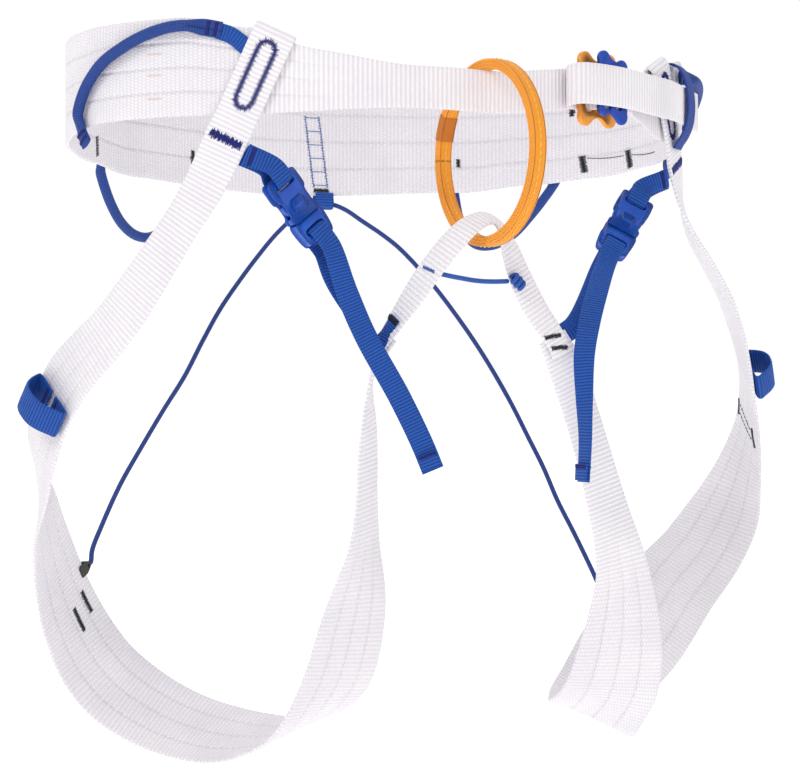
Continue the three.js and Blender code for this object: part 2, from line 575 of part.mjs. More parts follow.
// A small moulded clip on the inner edge of a leg band, its point toward the elastic.
const CLIP = { foot: 7.2, tip: 2.4, height: 5.4, thickness: 2.6 };
function elasticClip(band, place) {
  const [frame] = webFrames(band, 1, place, place);
  const out = frame.half.clone().normalize();
  const side = frame.along.clone();
  const up = new THREE.Vector3().crossVectors(side, out);
  const shape = new THREE.Shape();
  shape.moveTo(-CLIP.foot / 2, 0);
  shape.lineTo(CLIP.foot / 2, 0);
  shape.lineTo(CLIP.tip / 2, CLIP.height);
  shape.lineTo(-CLIP.tip / 2, CLIP.height);
  shape.closePath();
  const origin = frame.middle.clone()
    .addScaledVector(out, frame.half.length() + GAP)
    .addScaledVector(up, -CLIP.thickness / 2);
  const wedge = new THREE.ExtrudeGeometry(shape, { depth: CLIP.thickness, bevelEnabled: false });
  return [wedge, BLACK, basis(side, out, up, origin)];
}
add("right_elastic_clip", ...elasticClip(RIGHT_BAND, 6.72 / 17));
add("left_elastic_clip", ...elasticClip(LEFT_BAND, 11.18 / 20));

// Short cord between the two bridge straps, with its knot on the left one.
const SHORT_CORD_ROUTE = [
  [-31.2, -115.8, -91.6], [-28, -115.4, -92.2], [-22, -114, -93], [-16, -112.8, -93.6],
  [-10, -112, -93.9], [-4, -111.4, -93.9], [1, -111, -93.7], [4.6, -111, -93.5],
];
add("bridge_cord", tube(SHORT_CORD_ROUTE, SHORT_CORD, 8, 18), BLUE);

export default harness;
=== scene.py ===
"""Ultralight climbing harness: webbing, stitching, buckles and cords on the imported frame.

Lengths inside the tables and helpers are millimetres; every mesh is made in metres.
"""
import copy
import math

import bmesh
import bpy
import numpy as np
from mathutils import Matrix, Vector


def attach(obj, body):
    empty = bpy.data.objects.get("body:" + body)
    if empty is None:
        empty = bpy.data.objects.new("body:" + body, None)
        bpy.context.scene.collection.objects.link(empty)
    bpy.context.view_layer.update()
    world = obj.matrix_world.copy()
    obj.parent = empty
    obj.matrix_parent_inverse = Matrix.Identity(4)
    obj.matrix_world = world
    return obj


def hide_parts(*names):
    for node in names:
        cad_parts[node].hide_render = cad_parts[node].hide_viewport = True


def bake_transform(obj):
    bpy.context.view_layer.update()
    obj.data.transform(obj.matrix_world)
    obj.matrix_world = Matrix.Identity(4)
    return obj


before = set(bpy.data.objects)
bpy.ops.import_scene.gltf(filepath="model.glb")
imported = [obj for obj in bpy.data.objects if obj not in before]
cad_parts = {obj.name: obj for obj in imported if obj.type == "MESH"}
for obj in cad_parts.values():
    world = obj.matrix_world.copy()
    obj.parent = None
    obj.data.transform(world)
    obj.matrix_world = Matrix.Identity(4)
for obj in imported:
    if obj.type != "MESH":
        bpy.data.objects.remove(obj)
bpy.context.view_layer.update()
MM = 0.001


def linked(name, data):
    """A new object in the scene."""
    obj = bpy.data.objects.new(name, data)
    bpy.context.scene.collection.objects.link(obj)
    return obj


# ------------------------------------------------------------------ camera
camera = linked("camera", bpy.data.cameras.new("camera"))
camera.data.lens = 103.68
camera.data.sensor_width = 36
camera.data.clip_end = 200
camera.location = (-0.59324, -1.04313, -0.145)
camera.rotation_euler = (math.radians(90), 0, math.radians(-30))
bpy.context.scene.camera = camera


# ------------------------------------------------------------------ curves and frames
def unit(a):
    a = np.asarray(a, float)
    return a / np.maximum(np.linalg.norm(a, axis=-1, keepdims=True), 1e-12)


def catmull(points, t, centripetal=True):
    """A Catmull-Rom curve through points at the parameters t, from 0 to 1."""
    p = np.asarray(points, float)
    q = np.vstack([2 * p[0] - p[1], p, 2 * p[-1] - p[-2]])
    place = np.clip(np.asarray(t, float), 0, 1) * (len(p) - 1)
    i = np.clip(np.floor(place).astype(int), 0, len(p) - 2)
    w = (place - i)[:, None]
    a, b, c, d = q[i], q[i + 1], q[i + 2], q[i + 3]
    if centripetal:
        d0, d1, d2 = (np.maximum(np.linalg.norm(step, axis=1), 1e-4)[:, None] ** 0.5
                      for step in (b - a, c - b, d - c))
        m1 = ((b - a) / d0 - (c - a) / (d0 + d1) + (c - b) / d1) * d1
        m2 = ((c - b) / d1 - (d - b) / (d1 + d2) + (d - c) / d2) * d1
    else:
        m1, m2 = (c - a) / 2, (d - b) / 2
    return b + m1 * w + (3 * (c - b) - 2 * m1 - m2) * w**2 + (2 * (b - c) + m1 + m2) * w**3


def lengths(points):
    return np.concatenate([[0], np.cumsum(np.linalg.norm(np.diff(points, axis=0), axis=1))])


def along(rows, run, s):
    """The rows of vectors at arc lengths s, where run holds each row's arc length."""
    return np.stack([np.interp(s, run, column) for column in rows.T], axis=-1)


class Web:
    """A flat webbing: its middle line, half-width vectors and face normals at even steps."""

    def __init__(self, mid, half, thickness):
        self.mid, self.thickness = mid, thickness
        tangent = np.gradient(mid, axis=0)
        upright = np.all(np.abs(half[:, :2]) < 1e-9, axis=1)
        tangent[upright, 2] = 0
        self.tangent = unit(tangent)
        width = np.linalg.norm(half, axis=1, keepdims=True)
        flat = half - np.sum(half * self.tangent, axis=1, keepdims=True) * self.tangent
        self.half = unit(flat) * width
        self.normal = unit(np.cross(self.tangent, self.half))
        self.run = lengths(mid)
        self.length = self.run[-1]

    def row(self, values, s):
        return along(values, self.run, s)

    def at(self, s, v, side=1, lift=0.0):
        """Places on a face of the webbing: s along, v across, on its normal's side or the other."""
        across, normal = unit(self.row(self.half, s)), unit(self.row(self.normal, s))
        up = side * (self.thickness / 2 + np.asarray(lift, float))
        return self.row(self.mid, s) + across * np.asarray(v)[..., None] + normal * up[..., None]

    def near(self, point):
        """The arc length of the middle line's nearest place."""
        return float(self.run[np.argmin(np.linalg.norm(self.mid - np.asarray(point), axis=1))])

    def cut(self, low, high):
        """The part of the webbing between two arc lengths."""
        keep = (self.run >= low - 1e-9) & (self.run <= high + 1e-9)
        part = copy.copy(self)
        part.mid, part.half, part.tangent = self.mid[keep], self.half[keep], self.tangent[keep]
        part.normal = self.normal[keep]
        part.run = lengths(part.mid)
        part.length = part.run[-1]
        return part


def web_at(stations, t, thickness):
    """A webbing through [x, y, z, half-width x, y, z] stations, made at the curve parameters t."""
    stations = np.array(stations, float)
    return Web(catmull(stations[:, :3], t), catmull(stations[:, 3:], t, False), thickness)


def web_through(stations, thickness, step=1.2):
    """A webbing through stations, in even steps."""
    t = np.linspace(0, 1, 3000)
    run = lengths(catmull(np.array(stations, float)[:, :3], t))
    even = np.linspace(0, run[-1], max(8, int(run[-1] / step)))
    return web_at(stations, np.interp(even, run, t), thickness)


# ------------------------------------------------------------------ mesh makers
def finish_mesh(name, rings, faces, material, weave):
    """A smooth mesh with its faces outward, and the weave's coordinates at each point."""
    verts = rings.reshape(-1, 3)
    a, b, c = verts[np.array([face[:3] for face in faces]).T]
    if np.sum(a * np.cross(b, c)) < 0:
        faces = [face[::-1] for face in faces]
    mesh = bpy.data.meshes.new(name)
    mesh.from_pydata((verts * MM).tolist(), [], faces)
    layer = mesh.attributes.new("weave", "FLOAT_VECTOR", "POINT")
    layer.data.foreach_set("vector", weave.astype(np.float32).ravel())
    mesh.polygons.foreach_set("use_smooth", [True] * len(mesh.polygons))
    mesh.materials.append(material)
    mesh.update()
    return linked(name, mesh)


def ring_faces(count, size, offset=0, loop=False):
    """Quads that join a row of closed rings, with the two ends filled unless they join in a loop."""
    faces = []
    for i in range(count if loop else count - 1):
        for j in range(size):
            k, n = (j + 1) % size, (i + 1) % count
            faces.append((i * size + j, i * size + k, n * size + k, n * size + j))
    if not loop:
        last = (count - 1) * size
        for j in range(size // 2 - 1):
            a, b, c, d = j, j + 1, size - 2 - j, size - 1 - j
            faces += [(a, d, c, b), (last + a, last + b, last + c, last + d)]
    return [tuple(offset + corner for corner in face) for face in faces]


def smooth_step(x, low, high):
    t = np.clip((x - low) / (high - low), 0, 1)
    return t * t * (3 - 2 * t)


SPLIT_OPENS = (11.5, 16.5)      # half widths at which a webbing's strands start and end to part
GROOVE_WIDTH = 0.5


def strap(name, web, material, strands=1, rib=2.3, rib_height=0.09, wave=0.0):
    """A webbing with rounded selvedges, cross ribs, and grooves where it is split into strands."""
    grooves = [-1 + 2 * i / strands for i in range(1, strands)]
    grid = {-1, -0.975, -0.93, -0.6, -0.3, 0, 0.3, 0.6, 0.93, 0.975, 1}
    grid |= {g + step for g in grooves for step in (-0.07, -0.035, 0, 0.035, 0.07)}
    grid |= {-1 + (2 * i + 1) / strands for i in range(strands)}
    v = np.array(sorted(grid))
    hw = np.linalg.norm(web.half, axis=1)[:, None]
    half_t, selvedge = web.thickness / 2, 0.6 * web.thickness
    open_up = smooth_step(hw, *SPLIT_OPENS)
    edge = np.clip(selvedge - (1 - np.abs(v)) * hw, 0, None) / selvedge
    height = half_t * np.maximum(np.sqrt(np.clip(1 - edge**2, 0, 1)), 0.35)
    for g in grooves:
        height = height * (1 - 0.75 * open_up * np.exp(-(((v - g) * hw / GROOVE_WIDTH) ** 2)))
    run = web.run[:, None]
    ribs = np.sin(2 * math.pi * run / rib) * (1 - edge) - 1
    height = height + rib_height * ribs * (1 - 0.6 * open_up)
    drift = wave * (np.sin(run / 9.7) + 0.6 * np.sin(run / 4.3 + 1)) * v * np.abs(v)
    base = web.mid[:, None, :] + web.half[:, None, :] * v[None, :, None]
    top, low = (base + web.normal[:, None, :] * rise[..., None] for rise in (drift + height, drift - height))
    rings = np.concatenate([top, low[:, ::-1]], axis=1)
    coords = np.stack(np.broadcast_arrays(run, v * hw, hw), axis=-1)
    weave = np.concatenate([coords, coords[:, ::-1]], axis=1)
    return finish_mesh(name, rings, ring_faces(*rings.shape[:2]), material, weave)


def sweep_frames(points, hint=(0, 0, 1)):
    """Two cross directions along a polyline: carried without twist, or held to one hint a point."""
    tangent = unit(np.gradient(points, axis=0))
    hint = np.asarray(hint, float)
    side, first = hint, []
    for i, t in enumerate(tangent):
        side = side if hint.ndim == 1 else hint[i]
        side = unit(side - np.dot(side, t) * t)
        first.append(side)
    first = np.array(first)
    return first, np.cross(tangent, first)


def even_points(points, step):
    dense = catmull(points, np.linspace(0, 1, 1200))
    run = lengths(dense)
    return along(dense, run, np.linspace(0, run[-1], max(6, int(run[-1] / step))))


def doubled_ends(rows):
    return np.concatenate([rows[:1], rows, rows[-1:]])


END_SCALE = 0.55


def tube_parts(points, wide, thick, sides, hint):
    """Rings and braid coordinates of a tube with drawn-in ends, wide by thick at each point."""
    a, b = (doubled_ends(axis) for axis in sweep_frames(points, hint))
    wide, thick = (doubled_ends(np.ones(len(points)) * size) for size in (wide, thick))
    for size in (wide, thick):
        size[[0, -1]] *= END_SCALE
    points = doubled_ends(points)
    shift = 0.12 * (wide[1] + wide[-2])
    points[0] -= unit(points[2] - points[1]) * shift
    points[-1] += unit(points[-2] - points[-3]) * shift
    turn = np.arange(sides) * 2 * math.pi / sides
    rings = points[:, None] + a[:, None] * (wide[:, None] / 2 * np.cos(turn))[..., None]
    rings = rings + b[:, None] * (thick[:, None] / 2 * np.sin(turn))[..., None]
    around = turn / (2 * math.pi)
    return rings, np.stack(np.broadcast_arrays(lengths(points)[:, None], around, wide[:, None]), axis=-1)


def tube(name, points, wide, material, thick=None, sides=12, hint=(0, 0, 1)):
    rings, weave = tube_parts(points, wide, wide if thick is None else thick, sides, hint)
    return finish_mesh(name, rings, ring_faces(len(rings), sides), material, weave)


def threads(name, lines, width, material):
    """Many short sewn threads in one mesh."""
    sides, rings, weave, faces = 5, [], [], []
    for line in lines:
        parts = tube_parts(line, width, width * 0.8, sides, (0.3, 0.2, 1))
        faces += ring_faces(len(parts[0]), sides, sum(map(len, rings)) * sides)
        rings.append(parts[0])
        weave.append(parts[1])
    return finish_mesh(name, np.vstack(rings), faces, material, np.vstack(weave))


def satin(place, path, width, pitch=0.36, closed=False, ragged=0.14):
    """A dense row of threads across a path of (s, v) places, each pulled down at both ends."""
    path = np.array([*path, path[0]] if closed else path, float)
    run = lengths(path)
    middle = along(path, run, np.linspace(0, run[-1], max(3, int(run[-1] / pitch))))
    step = unit(np.gradient(middle, axis=0))
    across = np.stack([-step[:, 1], step[:, 0]], axis=-1)
    ends, lift = np.array([(-1, -0.3), (-0.8, 0.02), (0, 0.1), (0.8, 0.02), (1, -0.3)]).T
    lines = []
    for i, (spot, side, ahead) in enumerate(zip(middle, across, step)):
        reach = width / 2 * (1 + ragged * math.sin(i * 2.4) + ragged * math.sin(i * 5.1 + 1))
        slant = 0.25 if i % 2 else -0.25
        row = spot + (side * reach + ahead * slant) * ends[:, None]
        lines.append(place(*row.T, lift))
    return lines


def dashes(place, path, stitch, gap):
    """Running stitches along a path of (s, v) places."""
    path = np.asarray(path, float)
    run = lengths(path)
    lines, start = [], 0.3
    while start + stitch < run[-1]:
        spots = along(path, run, np.linspace(start, start + stitch, 4))
        lines.append(place(*spots.T, 0.12 * np.array([-1.6, 1, 1, -1.6])))
        start += stitch + gap
    return lines


def rounded(points, cut=0.2, rounds=2):
    """A closed outline with its corners cut round."""
    p = np.asarray(points, float)
    for _ in range(rounds):
        ahead = np.roll(p, -1, axis=0)
        p = np.stack([p + (ahead - p) * cut, ahead - (ahead - p) * cut], axis=1).reshape(-1, 2)
    return p


def rounded_box(x0, x1, y0, y1, cut=0.2, rounds=2):
    return rounded([(x0, y0), (x0, y1), (x1, y1), (x1, y0)], cut, rounds)


def moulding(name, matrix, plates, material):
    """One mesh of bevelled plates, each given as (outline, low, high, bevel, then any holes)."""
    mesh = bpy.data.meshes.new(name)
    out = bmesh.new()
    for plate in plates:
        part = solid_plate(matrix, *plate)
        out.from_mesh(part)
        bpy.data.meshes.remove(part)
    bmesh.ops.recalc_face_normals(out, faces=out.faces)
    out.to_mesh(mesh)
    out.free()
    mesh.materials.append(material)
    return linked(name, mesh)


def solid_plate(matrix, outline, low, high, bevel, *holes):
    """A bevelled plate between two levels, drawn as an outline with holes, moved by matrix (in mm)."""
    curve = bpy.data.curves.new("plate", "CURVE")
    curve.dimensions, curve.fill_mode = "2D", "BOTH"
    for loop in (outline, *holes):
        spline = curve.splines.new("POLY")
        spline.points.add(len(loop) - 1)
        for point, (x, y) in zip(spline.points, loop):
            point.co = (x, y, 0, 1)
        spline.use_cyclic_u = True
    curve.extrude = (high - low) / 2 - bevel
    curve.bevel_depth = bevel
    curve.bevel_resolution = 3
    curve.offset = -bevel
    holder = bpy.data.objects.new("plate", curve)
    mesh = bpy.data.meshes.new_from_object(holder)
    bpy.data.objects.remove(holder)
    bpy.data.curves.remove(curve)
    work = bmesh.new()
    work.from_mesh(mesh)
    bmesh.ops.remove_doubles(work, verts=work.verts, dist=1e-3)
    work.transform(Matrix.Scale(MM, 4) @ matrix @ Matrix.Translation((0, 0, (low + high) / 2)))
    for face in work.faces:
        face.smooth = True
    work.to_mesh(mesh)
    work.free()
    mesh.set_sharp_from_angle(angle=math.radians(38))
    return mesh


def basis(x, y, z, origin):
    """The matrix that moves a drawing onto three axes and an origin."""
    return Matrix([*np.column_stack([x, y, z, origin]).tolist(), (0, 0, 0, 1)])


# ------------------------------------------------------------------ materials
class Nodes:
    """A short way to write a material's maths."""

    def __init__(self, name):
        self.material = bpy.data.materials.new(name)
        self.material.use_nodes = True
        self.tree = self.material.node_tree
        self.shader = self.tree.nodes["Principled BSDF"]

    def put(self, socket, value):
        if isinstance(value, bpy.types.NodeSocket):
            self.tree.links.new(value, socket)
        else:
            socket.default_value = value

    def node(self, kind, **settings):
        made = self.tree.nodes.new(kind)
        for key, value in settings.items():
            setattr(made, key, value)
        return made

    def math(self, operation, *values):
        made = self.node("ShaderNodeMath", operation=operation)
        for socket, value in zip(made.inputs, values):
            self.put(socket, value)
        return made.outputs[0]

    def scaled(self, value, factor, plus):
        return self.math("MULTIPLY_ADD", value, factor, plus)

    def spread(self, value, *limits):
        """The value carried from one range to another: from low, from high, to low, to high."""
        made = self.node("ShaderNodeMapRange")
        for socket, setting in zip(made.inputs, (value, *limits)):
            self.put(socket, setting)
        return made.outputs[0]

    def wave(self, value, pitch, phase=0.0):
        """A sine of the given pitch, lifted to run from 0 to 1."""
        return self.scaled(self.math("SINE", self.scaled(value, 2 * math.pi / pitch, phase)), 0.5, 0.5)

    def weave(self):
        source = self.node("ShaderNodeAttribute", attribute_name="weave")
        split = self.node("ShaderNodeSeparateXYZ")
        self.put(split.inputs[0], source.outputs["Vector"])
        return split.outputs

    def noise(self, scale, detail=2.0, stretch=(1, 1, 1)):
        """Noise in the object's space, in features a metre along stretched axes."""
        space = self.node("ShaderNodeMapping")
        self.put(space.inputs["Vector"], self.node("ShaderNodeTexCoord").outputs["Object"])
        self.put(space.inputs["Scale"], stretch)
        made = self.node("ShaderNodeTexNoise")
        for key, value in (("Vector", space.outputs[0]), ("Scale", scale), ("Detail", detail)):
            self.put(made.inputs[key], value)
        return made.outputs["Fac"]

    def ramp(self, value, low, high, colours):
        made = self.node("ShaderNodeValToRGB")
        made.color_ramp.elements[0].position, made.color_ramp.elements[1].position = low, high
        for element, colour in zip(made.color_ramp.elements, colours):
            element.color = (*colour, 1)
        self.put(made.inputs[0], value)
        return made.outputs["Color"]

    def blend(self, amount, a, b, mode="MIX"):
        made = self.node("ShaderNodeMix", data_type="RGBA", blend_type=mode)
        self.put(made.inputs[0], amount)
        self.put(made.inputs[6], a)
        self.put(made.inputs[7], b)
        return made.outputs[2]

    def bump(self, height, distance, strength=1.0):
        made = self.node("ShaderNodeBump")
        for key, value in (("Height", height), ("Distance", distance * MM), ("Strength", strength)):
            self.put(made.inputs[key], value)
        return made.outputs[0]

    def finished(self, **values):
        """The material, with its shader's inputs set or linked."""
        for key, value in values.items():
            self.put(self.shader.inputs[key.replace("_", " ")], value)
        return self.material


# Half widths between which a grain given as a pair goes from the first to the second.
GRAIN_GROWS = (10.5, 16.0)


def woven(name, light, dark, rib, cord, grain, depth, sheen=0.25, twill=False):
    """Webbing: cross ribs broken into grains by the warp cords, with a little dirt and fuzz, and painted
    shade in the rib hollows.
    """
    n = Nodes(name)
    s, v, half_width = n.weave()
    s = n.math("ADD", s, n.scaled(n.noise(420), 0.5, -0.25))
    if twill:
        ribs, shift = n.wave(n.scaled(n.math("ABSOLUTE", v), 1.1, s), rib), 0.0
    else:
        ribs = n.wave(s, rib)
        shift = n.math("MULTIPLY", n.math("FLOOR", n.math("DIVIDE", s, rib)), math.pi)
    if isinstance(grain, tuple):
        grain = n.spread(half_width, *GRAIN_GROWS, *grain)
    grains = n.scaled(n.wave(v, cord, shift), grain, n.math("SUBTRACT", 1.0, grain))
    broken = n.math("MULTIPLY", ribs, grains)
    soil = n.ramp(n.noise(38, 4.0), 0.35, 0.75, ((1, 1, 1), (0.93, 0.925, 0.945)))
    return n.finished(
        # Base colour: darker where the weave's height is low, which is painted shade in the hollows between
        # ribs and grains.
        Base_Color=n.blend(1.0, n.ramp(broken, 0.0, 0.6, (dark, light)), soil, "MULTIPLY"),
        Roughness=n.spread(broken, 0, 1, 0.75, 0.5),
        Normal=n.bump(n.scaled(n.noise(2600, 3.0), 0.35, broken), depth),
        Sheen_Weight=sheen, Sheen_Roughness=0.4, Specular_IOR_Level=0.4)


def braided(name, light, dark, pitch, strands, depth):
    """Braided sheath: two sets of strands that cross round the cord."""
    n = Nodes(name)
    s, turn, _ = n.weave()
    run = n.math("MULTIPLY", s, 2 * math.pi / pitch)
    one, two = (n.math("SINE", n.scaled(turn, way * 2 * math.pi * strands, run)) for way in (1, -1))
    cross = n.scaled(n.math("MULTIPLY", one, two), 0.5, 0.5)
    return n.finished(Base_Color=n.ramp(cross, 0.05, 0.8, (dark, light)),
                      Roughness=n.scaled(cross, -0.2, 0.72),
                      Normal=n.bump(n.scaled(n.noise(2400, 3.0), 0.3, cross), depth))


def thread(name, light, dark):
    """Sewing thread with its twist."""
    n = Nodes(name)
    s, turn, _ = n.weave()
    twist = n.wave(n.math("ADD", s, turn), 0.7)
    return n.finished(Base_Color=n.ramp(twist, 0.1, 0.8, (dark, light)),
                      Roughness=n.scaled(n.noise(900), 0.2, 0.45),
                      Normal=n.bump(twist, 0.05), Sheen_Weight=0.02, Specular_IOR_Level=0.3)


def moulded(name, light, dark, rough):
    """Satin moulded plastic with a fine spark texture and a mottled tone."""
    n = Nodes(name)
    return n.finished(Base_Color=n.ramp(n.noise(120, 4.0), 0.35, 0.7, (dark, light)), IOR=1.48,
                      Roughness=n.scaled(n.noise(700, 5.0), 0.22, rough),
                      Normal=n.bump(n.noise(3200), 0.03, 0.5))


def anodised(name, light, dark):
    """Anodised forged plate: fine brushed grain and a little handling wear."""
    n = Nodes(name)
    grain = n.noise(900, 3.0, (1, 1, 9))
    return n.finished(Base_Color=n.ramp(n.noise(240, 4.0), 0.3, 0.72, (dark, light)), Metallic=0.85,
                      Roughness=n.scaled(grain, 0.2, 0.24), Normal=n.bump(grain, 0.02, 0.5))


# Each pair: the webbing's colour on the rib crowns, then a darker tone that is painted shade in the hollows
# between ribs.
WHITE_CROWN_AND_GROOVE_SHADE = ((0.9, 0.872, 0.898), (0.74, 0.705, 0.745))
WHITE = woven("white_webbing", *WHITE_CROWN_AND_GROOVE_SHADE, rib=2.2, cord=1.5, grain=(0.35, 0.9), depth=0.25)
WHITE_RIBBED = woven("white_ribbed_webbing", *WHITE_CROWN_AND_GROOVE_SHADE, rib=2.3, cord=0.9, grain=0.35, depth=0.24)
BLUE_WEB = woven("blue_webbing", (0.002, 0.085, 0.43), (0.001, 0.032, 0.2), 1.5, 0.8, 0.35, 0.2, 0.0)
BLUE_ELASTIC = woven("blue_elastic", (0.004, 0.055, 0.36), (0.002, 0.018, 0.16), 0.9, 1.1, 0.6, 0.14, 0.0)
ORANGE_WEB = woven("orange_webbing", (1.0, 0.4, 0.03), (0.8, 0.235, 0.01), 1.5, 1.0, 0.3, 0.2, 0.05, True)
# A darker copy of the orange webbing for the splice: painted shade where the loop runs up under the strap.
SHADED_SPLICE_WEB = woven("orange_splice_painted_shade", (0.8, 0.25, 0.018), (0.5, 0.125, 0.008), 0.8, 0.8, 0.5, 0.25, 0.05, True)
SHEATH = braided("gear_loop_sheath", (0.002, 0.055, 0.33), (0.001, 0.016, 0.12), 2.4, 9, 0.2)
ELASTIC = braided("elastic_cord", (0.005, 0.045, 0.28), (0.002, 0.014, 0.1), 1.6, 6, 0.12)
LIGHT_CORD = braided("light_cord", (0.015, 0.11, 0.5), (0.005, 0.035, 0.2), 1.4, 6, 0.12)
NAVY = thread("navy_thread", (0.016, 0.024, 0.23), (0.006, 0.008, 0.1))
BLACK_THREAD = thread("black_thread", (0.012, 0.022, 0.03), (0.003, 0.006, 0.009))
BLUE_THREAD = thread("blue_thread", (0.05, 0.16, 0.5), (0.03, 0.09, 0.32))
YELLOW = thread("yellow_thread", (0.98, 0.62, 0.12), (0.75, 0.4, 0.04))
FAINT = thread("faint_orange_thread", (0.9, 0.5, 0.35), (0.8, 0.4, 0.3))
PLASTIC = moulded("blue_plastic", (0.004, 0.085, 0.5), (0.003, 0.06, 0.4), 0.22)
BLACK = moulded("black_plastic", (0.02, 0.02, 0.022), (0.01, 0.01, 0.011), 0.42)
ORANGE_METAL = anodised("orange_anodised", (0.92, 0.4, 0.09), (0.8, 0.3, 0.05))
BLUE_METAL = anodised("blue_anodised", (0.04, 0.1, 0.5), (0.02, 0.055, 0.34))


# ------------------------------------------------------------------ how pieces ride
RING = (-0.0085, -0.1142, -0.064)
WEAR = {
    "right_hip": ("belt", "right_leg", (-0.1286, -0.0784, -0.020), (-0.146, -0.066, -0.062)),
    "left_hip": ("belt", "left_leg", (0.1286, -0.0784, -0.020), (0.146, -0.066, -0.062)),
    "right_bridge": ("belt", "right_leg", RING, (-0.034, -0.112, -0.084)),
    "left_bridge": ("belt", "left_leg", RING, (0.010, -0.110, -0.086)),
    "right_elastic": ("belt", "right_leg", (0.0185, 0.1142, -0.0403), (-0.1331, 0.0756, -0.2353)),
    "left_elastic": ("belt", "left_leg", (0.0301, 0.1134, -0.0403), (0.1309, -0.0074, -0.2547)),
    "right_sewn": ("right_clasp", "right_leg", (-0.0886, -0.0875, -0.070), (-0.0532, -0.0956, -0.114)),
    "left_sewn": ("left_clasp", "left_leg", (0.0842, -0.0870, -0.072), (0.0426, -0.1106, -0.1155)),
}


def settle(piece, where, replaces=()):
    """Makes a piece ride on a body; a piece that a WEAR entry names is only baked in place."""
    if where in WEAR:
        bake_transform(piece)
    else:
        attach(piece, where)
    if replaces:
        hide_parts(*replaces)


def blue_web(name, web, where, replaces=(), rib_height=0.08):
    settle(strap(name, web, BLUE_WEB, rib=1.5, rib_height=rib_height), where, replaces)


# ------------------------------------------------------------------ rear elastics, the long cords
RIGHT_ELASTIC = [
    (23.8, 113.8, -40.2), (18, 114.2, -40.3), (12, 114.6, -42.6), (6, 115, -48), (-6, 115, -59),
    (-18, 114, -72), (-30, 112.5, -86), (-42, 110.5, -101), (-54, 108, -119), (-66, 105, -138),
    (-81, 100.5, -157), (-96, 96, -177), (-110, 91, -196), (-123.5, 84, -217), (-131, 79, -229.5),
    (-133.1, 75.6, -235.3),
]
LEFT_ELASTIC = [
    (24.6, 113.8, -40.2), (30.4, 113.3, -40.3), (36, 109, -43.2), (43, 101.5, -50), (52, 95, -57.5),
    (60, 88, -66), (74, 76, -86), (87, 65.5, -108), (95, 58, -124), (102, 51, -140), (108, 44, -156),
    (113, 37, -172), (118, 29, -189), (122, 21, -207), (126.5, 12, -224), (130, 3, -240),
    (131.2, -3.4, -249.7), (130.9, -7.4, -254.7),
]
ELASTIC_DIAMETER = 2.55
for side, route, inside_clip in (("right", RIGHT_ELASTIC, (-134.5, 74.7, -236.2)),
                                 ("left", LEFT_ELASTIC, (132.2, -8.5, -256))):
    line = even_points(route + [inside_clip], 2.0)
    piece = tube(f"{side}_elastic_cord", line, ELASTIC_DIAMETER, ELASTIC)
    settle(piece, f"{side}_elastic", [f"{side}_rear_elastic"])

# ------------------------------------------------------------------ waist belt and front strap
WAIST_A, WAIST_B = 170, 115
BELT_THICKNESS = 2.4
STRAP_THICKNESS = 1.6
BELT_PROFILE = np.array([
    (0, -13.7, 6.3), (18, -13.4, 6.9), (25, -14.5, 9.5), (35, -16.5, 14), (44, -18, 22.5), (58, -18, 28),
    (80, -18.5, 27.5), (90, -21, 27), (110, -25, 26.5), (128, -28, 26), (143, -32, 26), (180, -36, 26),
], float)


def on_waist(degrees, out, z):
    """One place or many pushed out from the waist ellipse, and the outward directions there."""
    c, s = np.cos(np.radians(degrees)), np.sin(np.radians(degrees))
    normal = unit(np.stack([WAIST_B * c, WAIST_A * s, 0 * c], axis=-1))
    flat = np.stack([WAIST_A * c, WAIST_B * s, 0 * c + z], axis=-1)
    return flat + normal * np.asarray(out, float)[..., None], normal


def waist_seat(degrees, z=0):
    """A place on the waist ellipse, with its directions outward and along the belt."""
    seat, out = on_waist(degrees, 0, z)
    return seat, out, np.array([-out[1], out[0], 0])


def hoop(degrees, profile, half_width):
    """Stations of a narrow web that crosses the belt, through (outward, height) places."""
    seat, out, ahead = waist_seat(degrees)
    return [[*(seat + out * x + (0, 0, z)), *(ahead * half_width)] for x, z in profile]


def belt_edges(degrees):
    turn = np.abs((np.asarray(degrees, float) + 270) % 360 - 180)
    i = np.clip(np.searchsorted(BELT_PROFILE[:, 0], turn), 1, len(BELT_PROFILE) - 1)
    a, b = BELT_PROFILE[i - 1], BELT_PROFILE[i]
    edges = a + (b - a) * smooth_step(turn, a[..., 0], b[..., 0])[..., None]
    return edges[..., 1], edges[..., 2]


def waist_stations(rows):
    """Stations on the waist from (degrees, outward, lower edge, upper edge)."""
    return [[*on_waist(angle, out, (low + high) / 2)[0], 0, 0, (high - low) / 2]
            for angle, out, low, high in rows]


def belt_stations(angles):
    return waist_stations([(angle, 0, *belt_edges(angle)) for angle in angles])


BELT_START, BELT_STOP = -133, -407
belt_rows = np.array(belt_stations(np.linspace(BELT_START, BELT_STOP, 720)))
belt = strap("waist_belt_webbing", Web(belt_rows[:, :3], belt_rows[:, 3:], BELT_THICKNESS), WHITE, strands=4,
             rib=2.2, rib_height=0.07)
settle(belt, "belt", ["waist_belt"])


def belt_face(side, lift=0.1):
    """A place() for stitches on the belt, outside or inside: s is degrees round the waist, v is height."""
    return lambda s, v, extra: on_waist(s, side * (BELT_THICKNESS / 2 + lift + extra), v)[0]


OUTSIDE, INSIDE = 1, -1


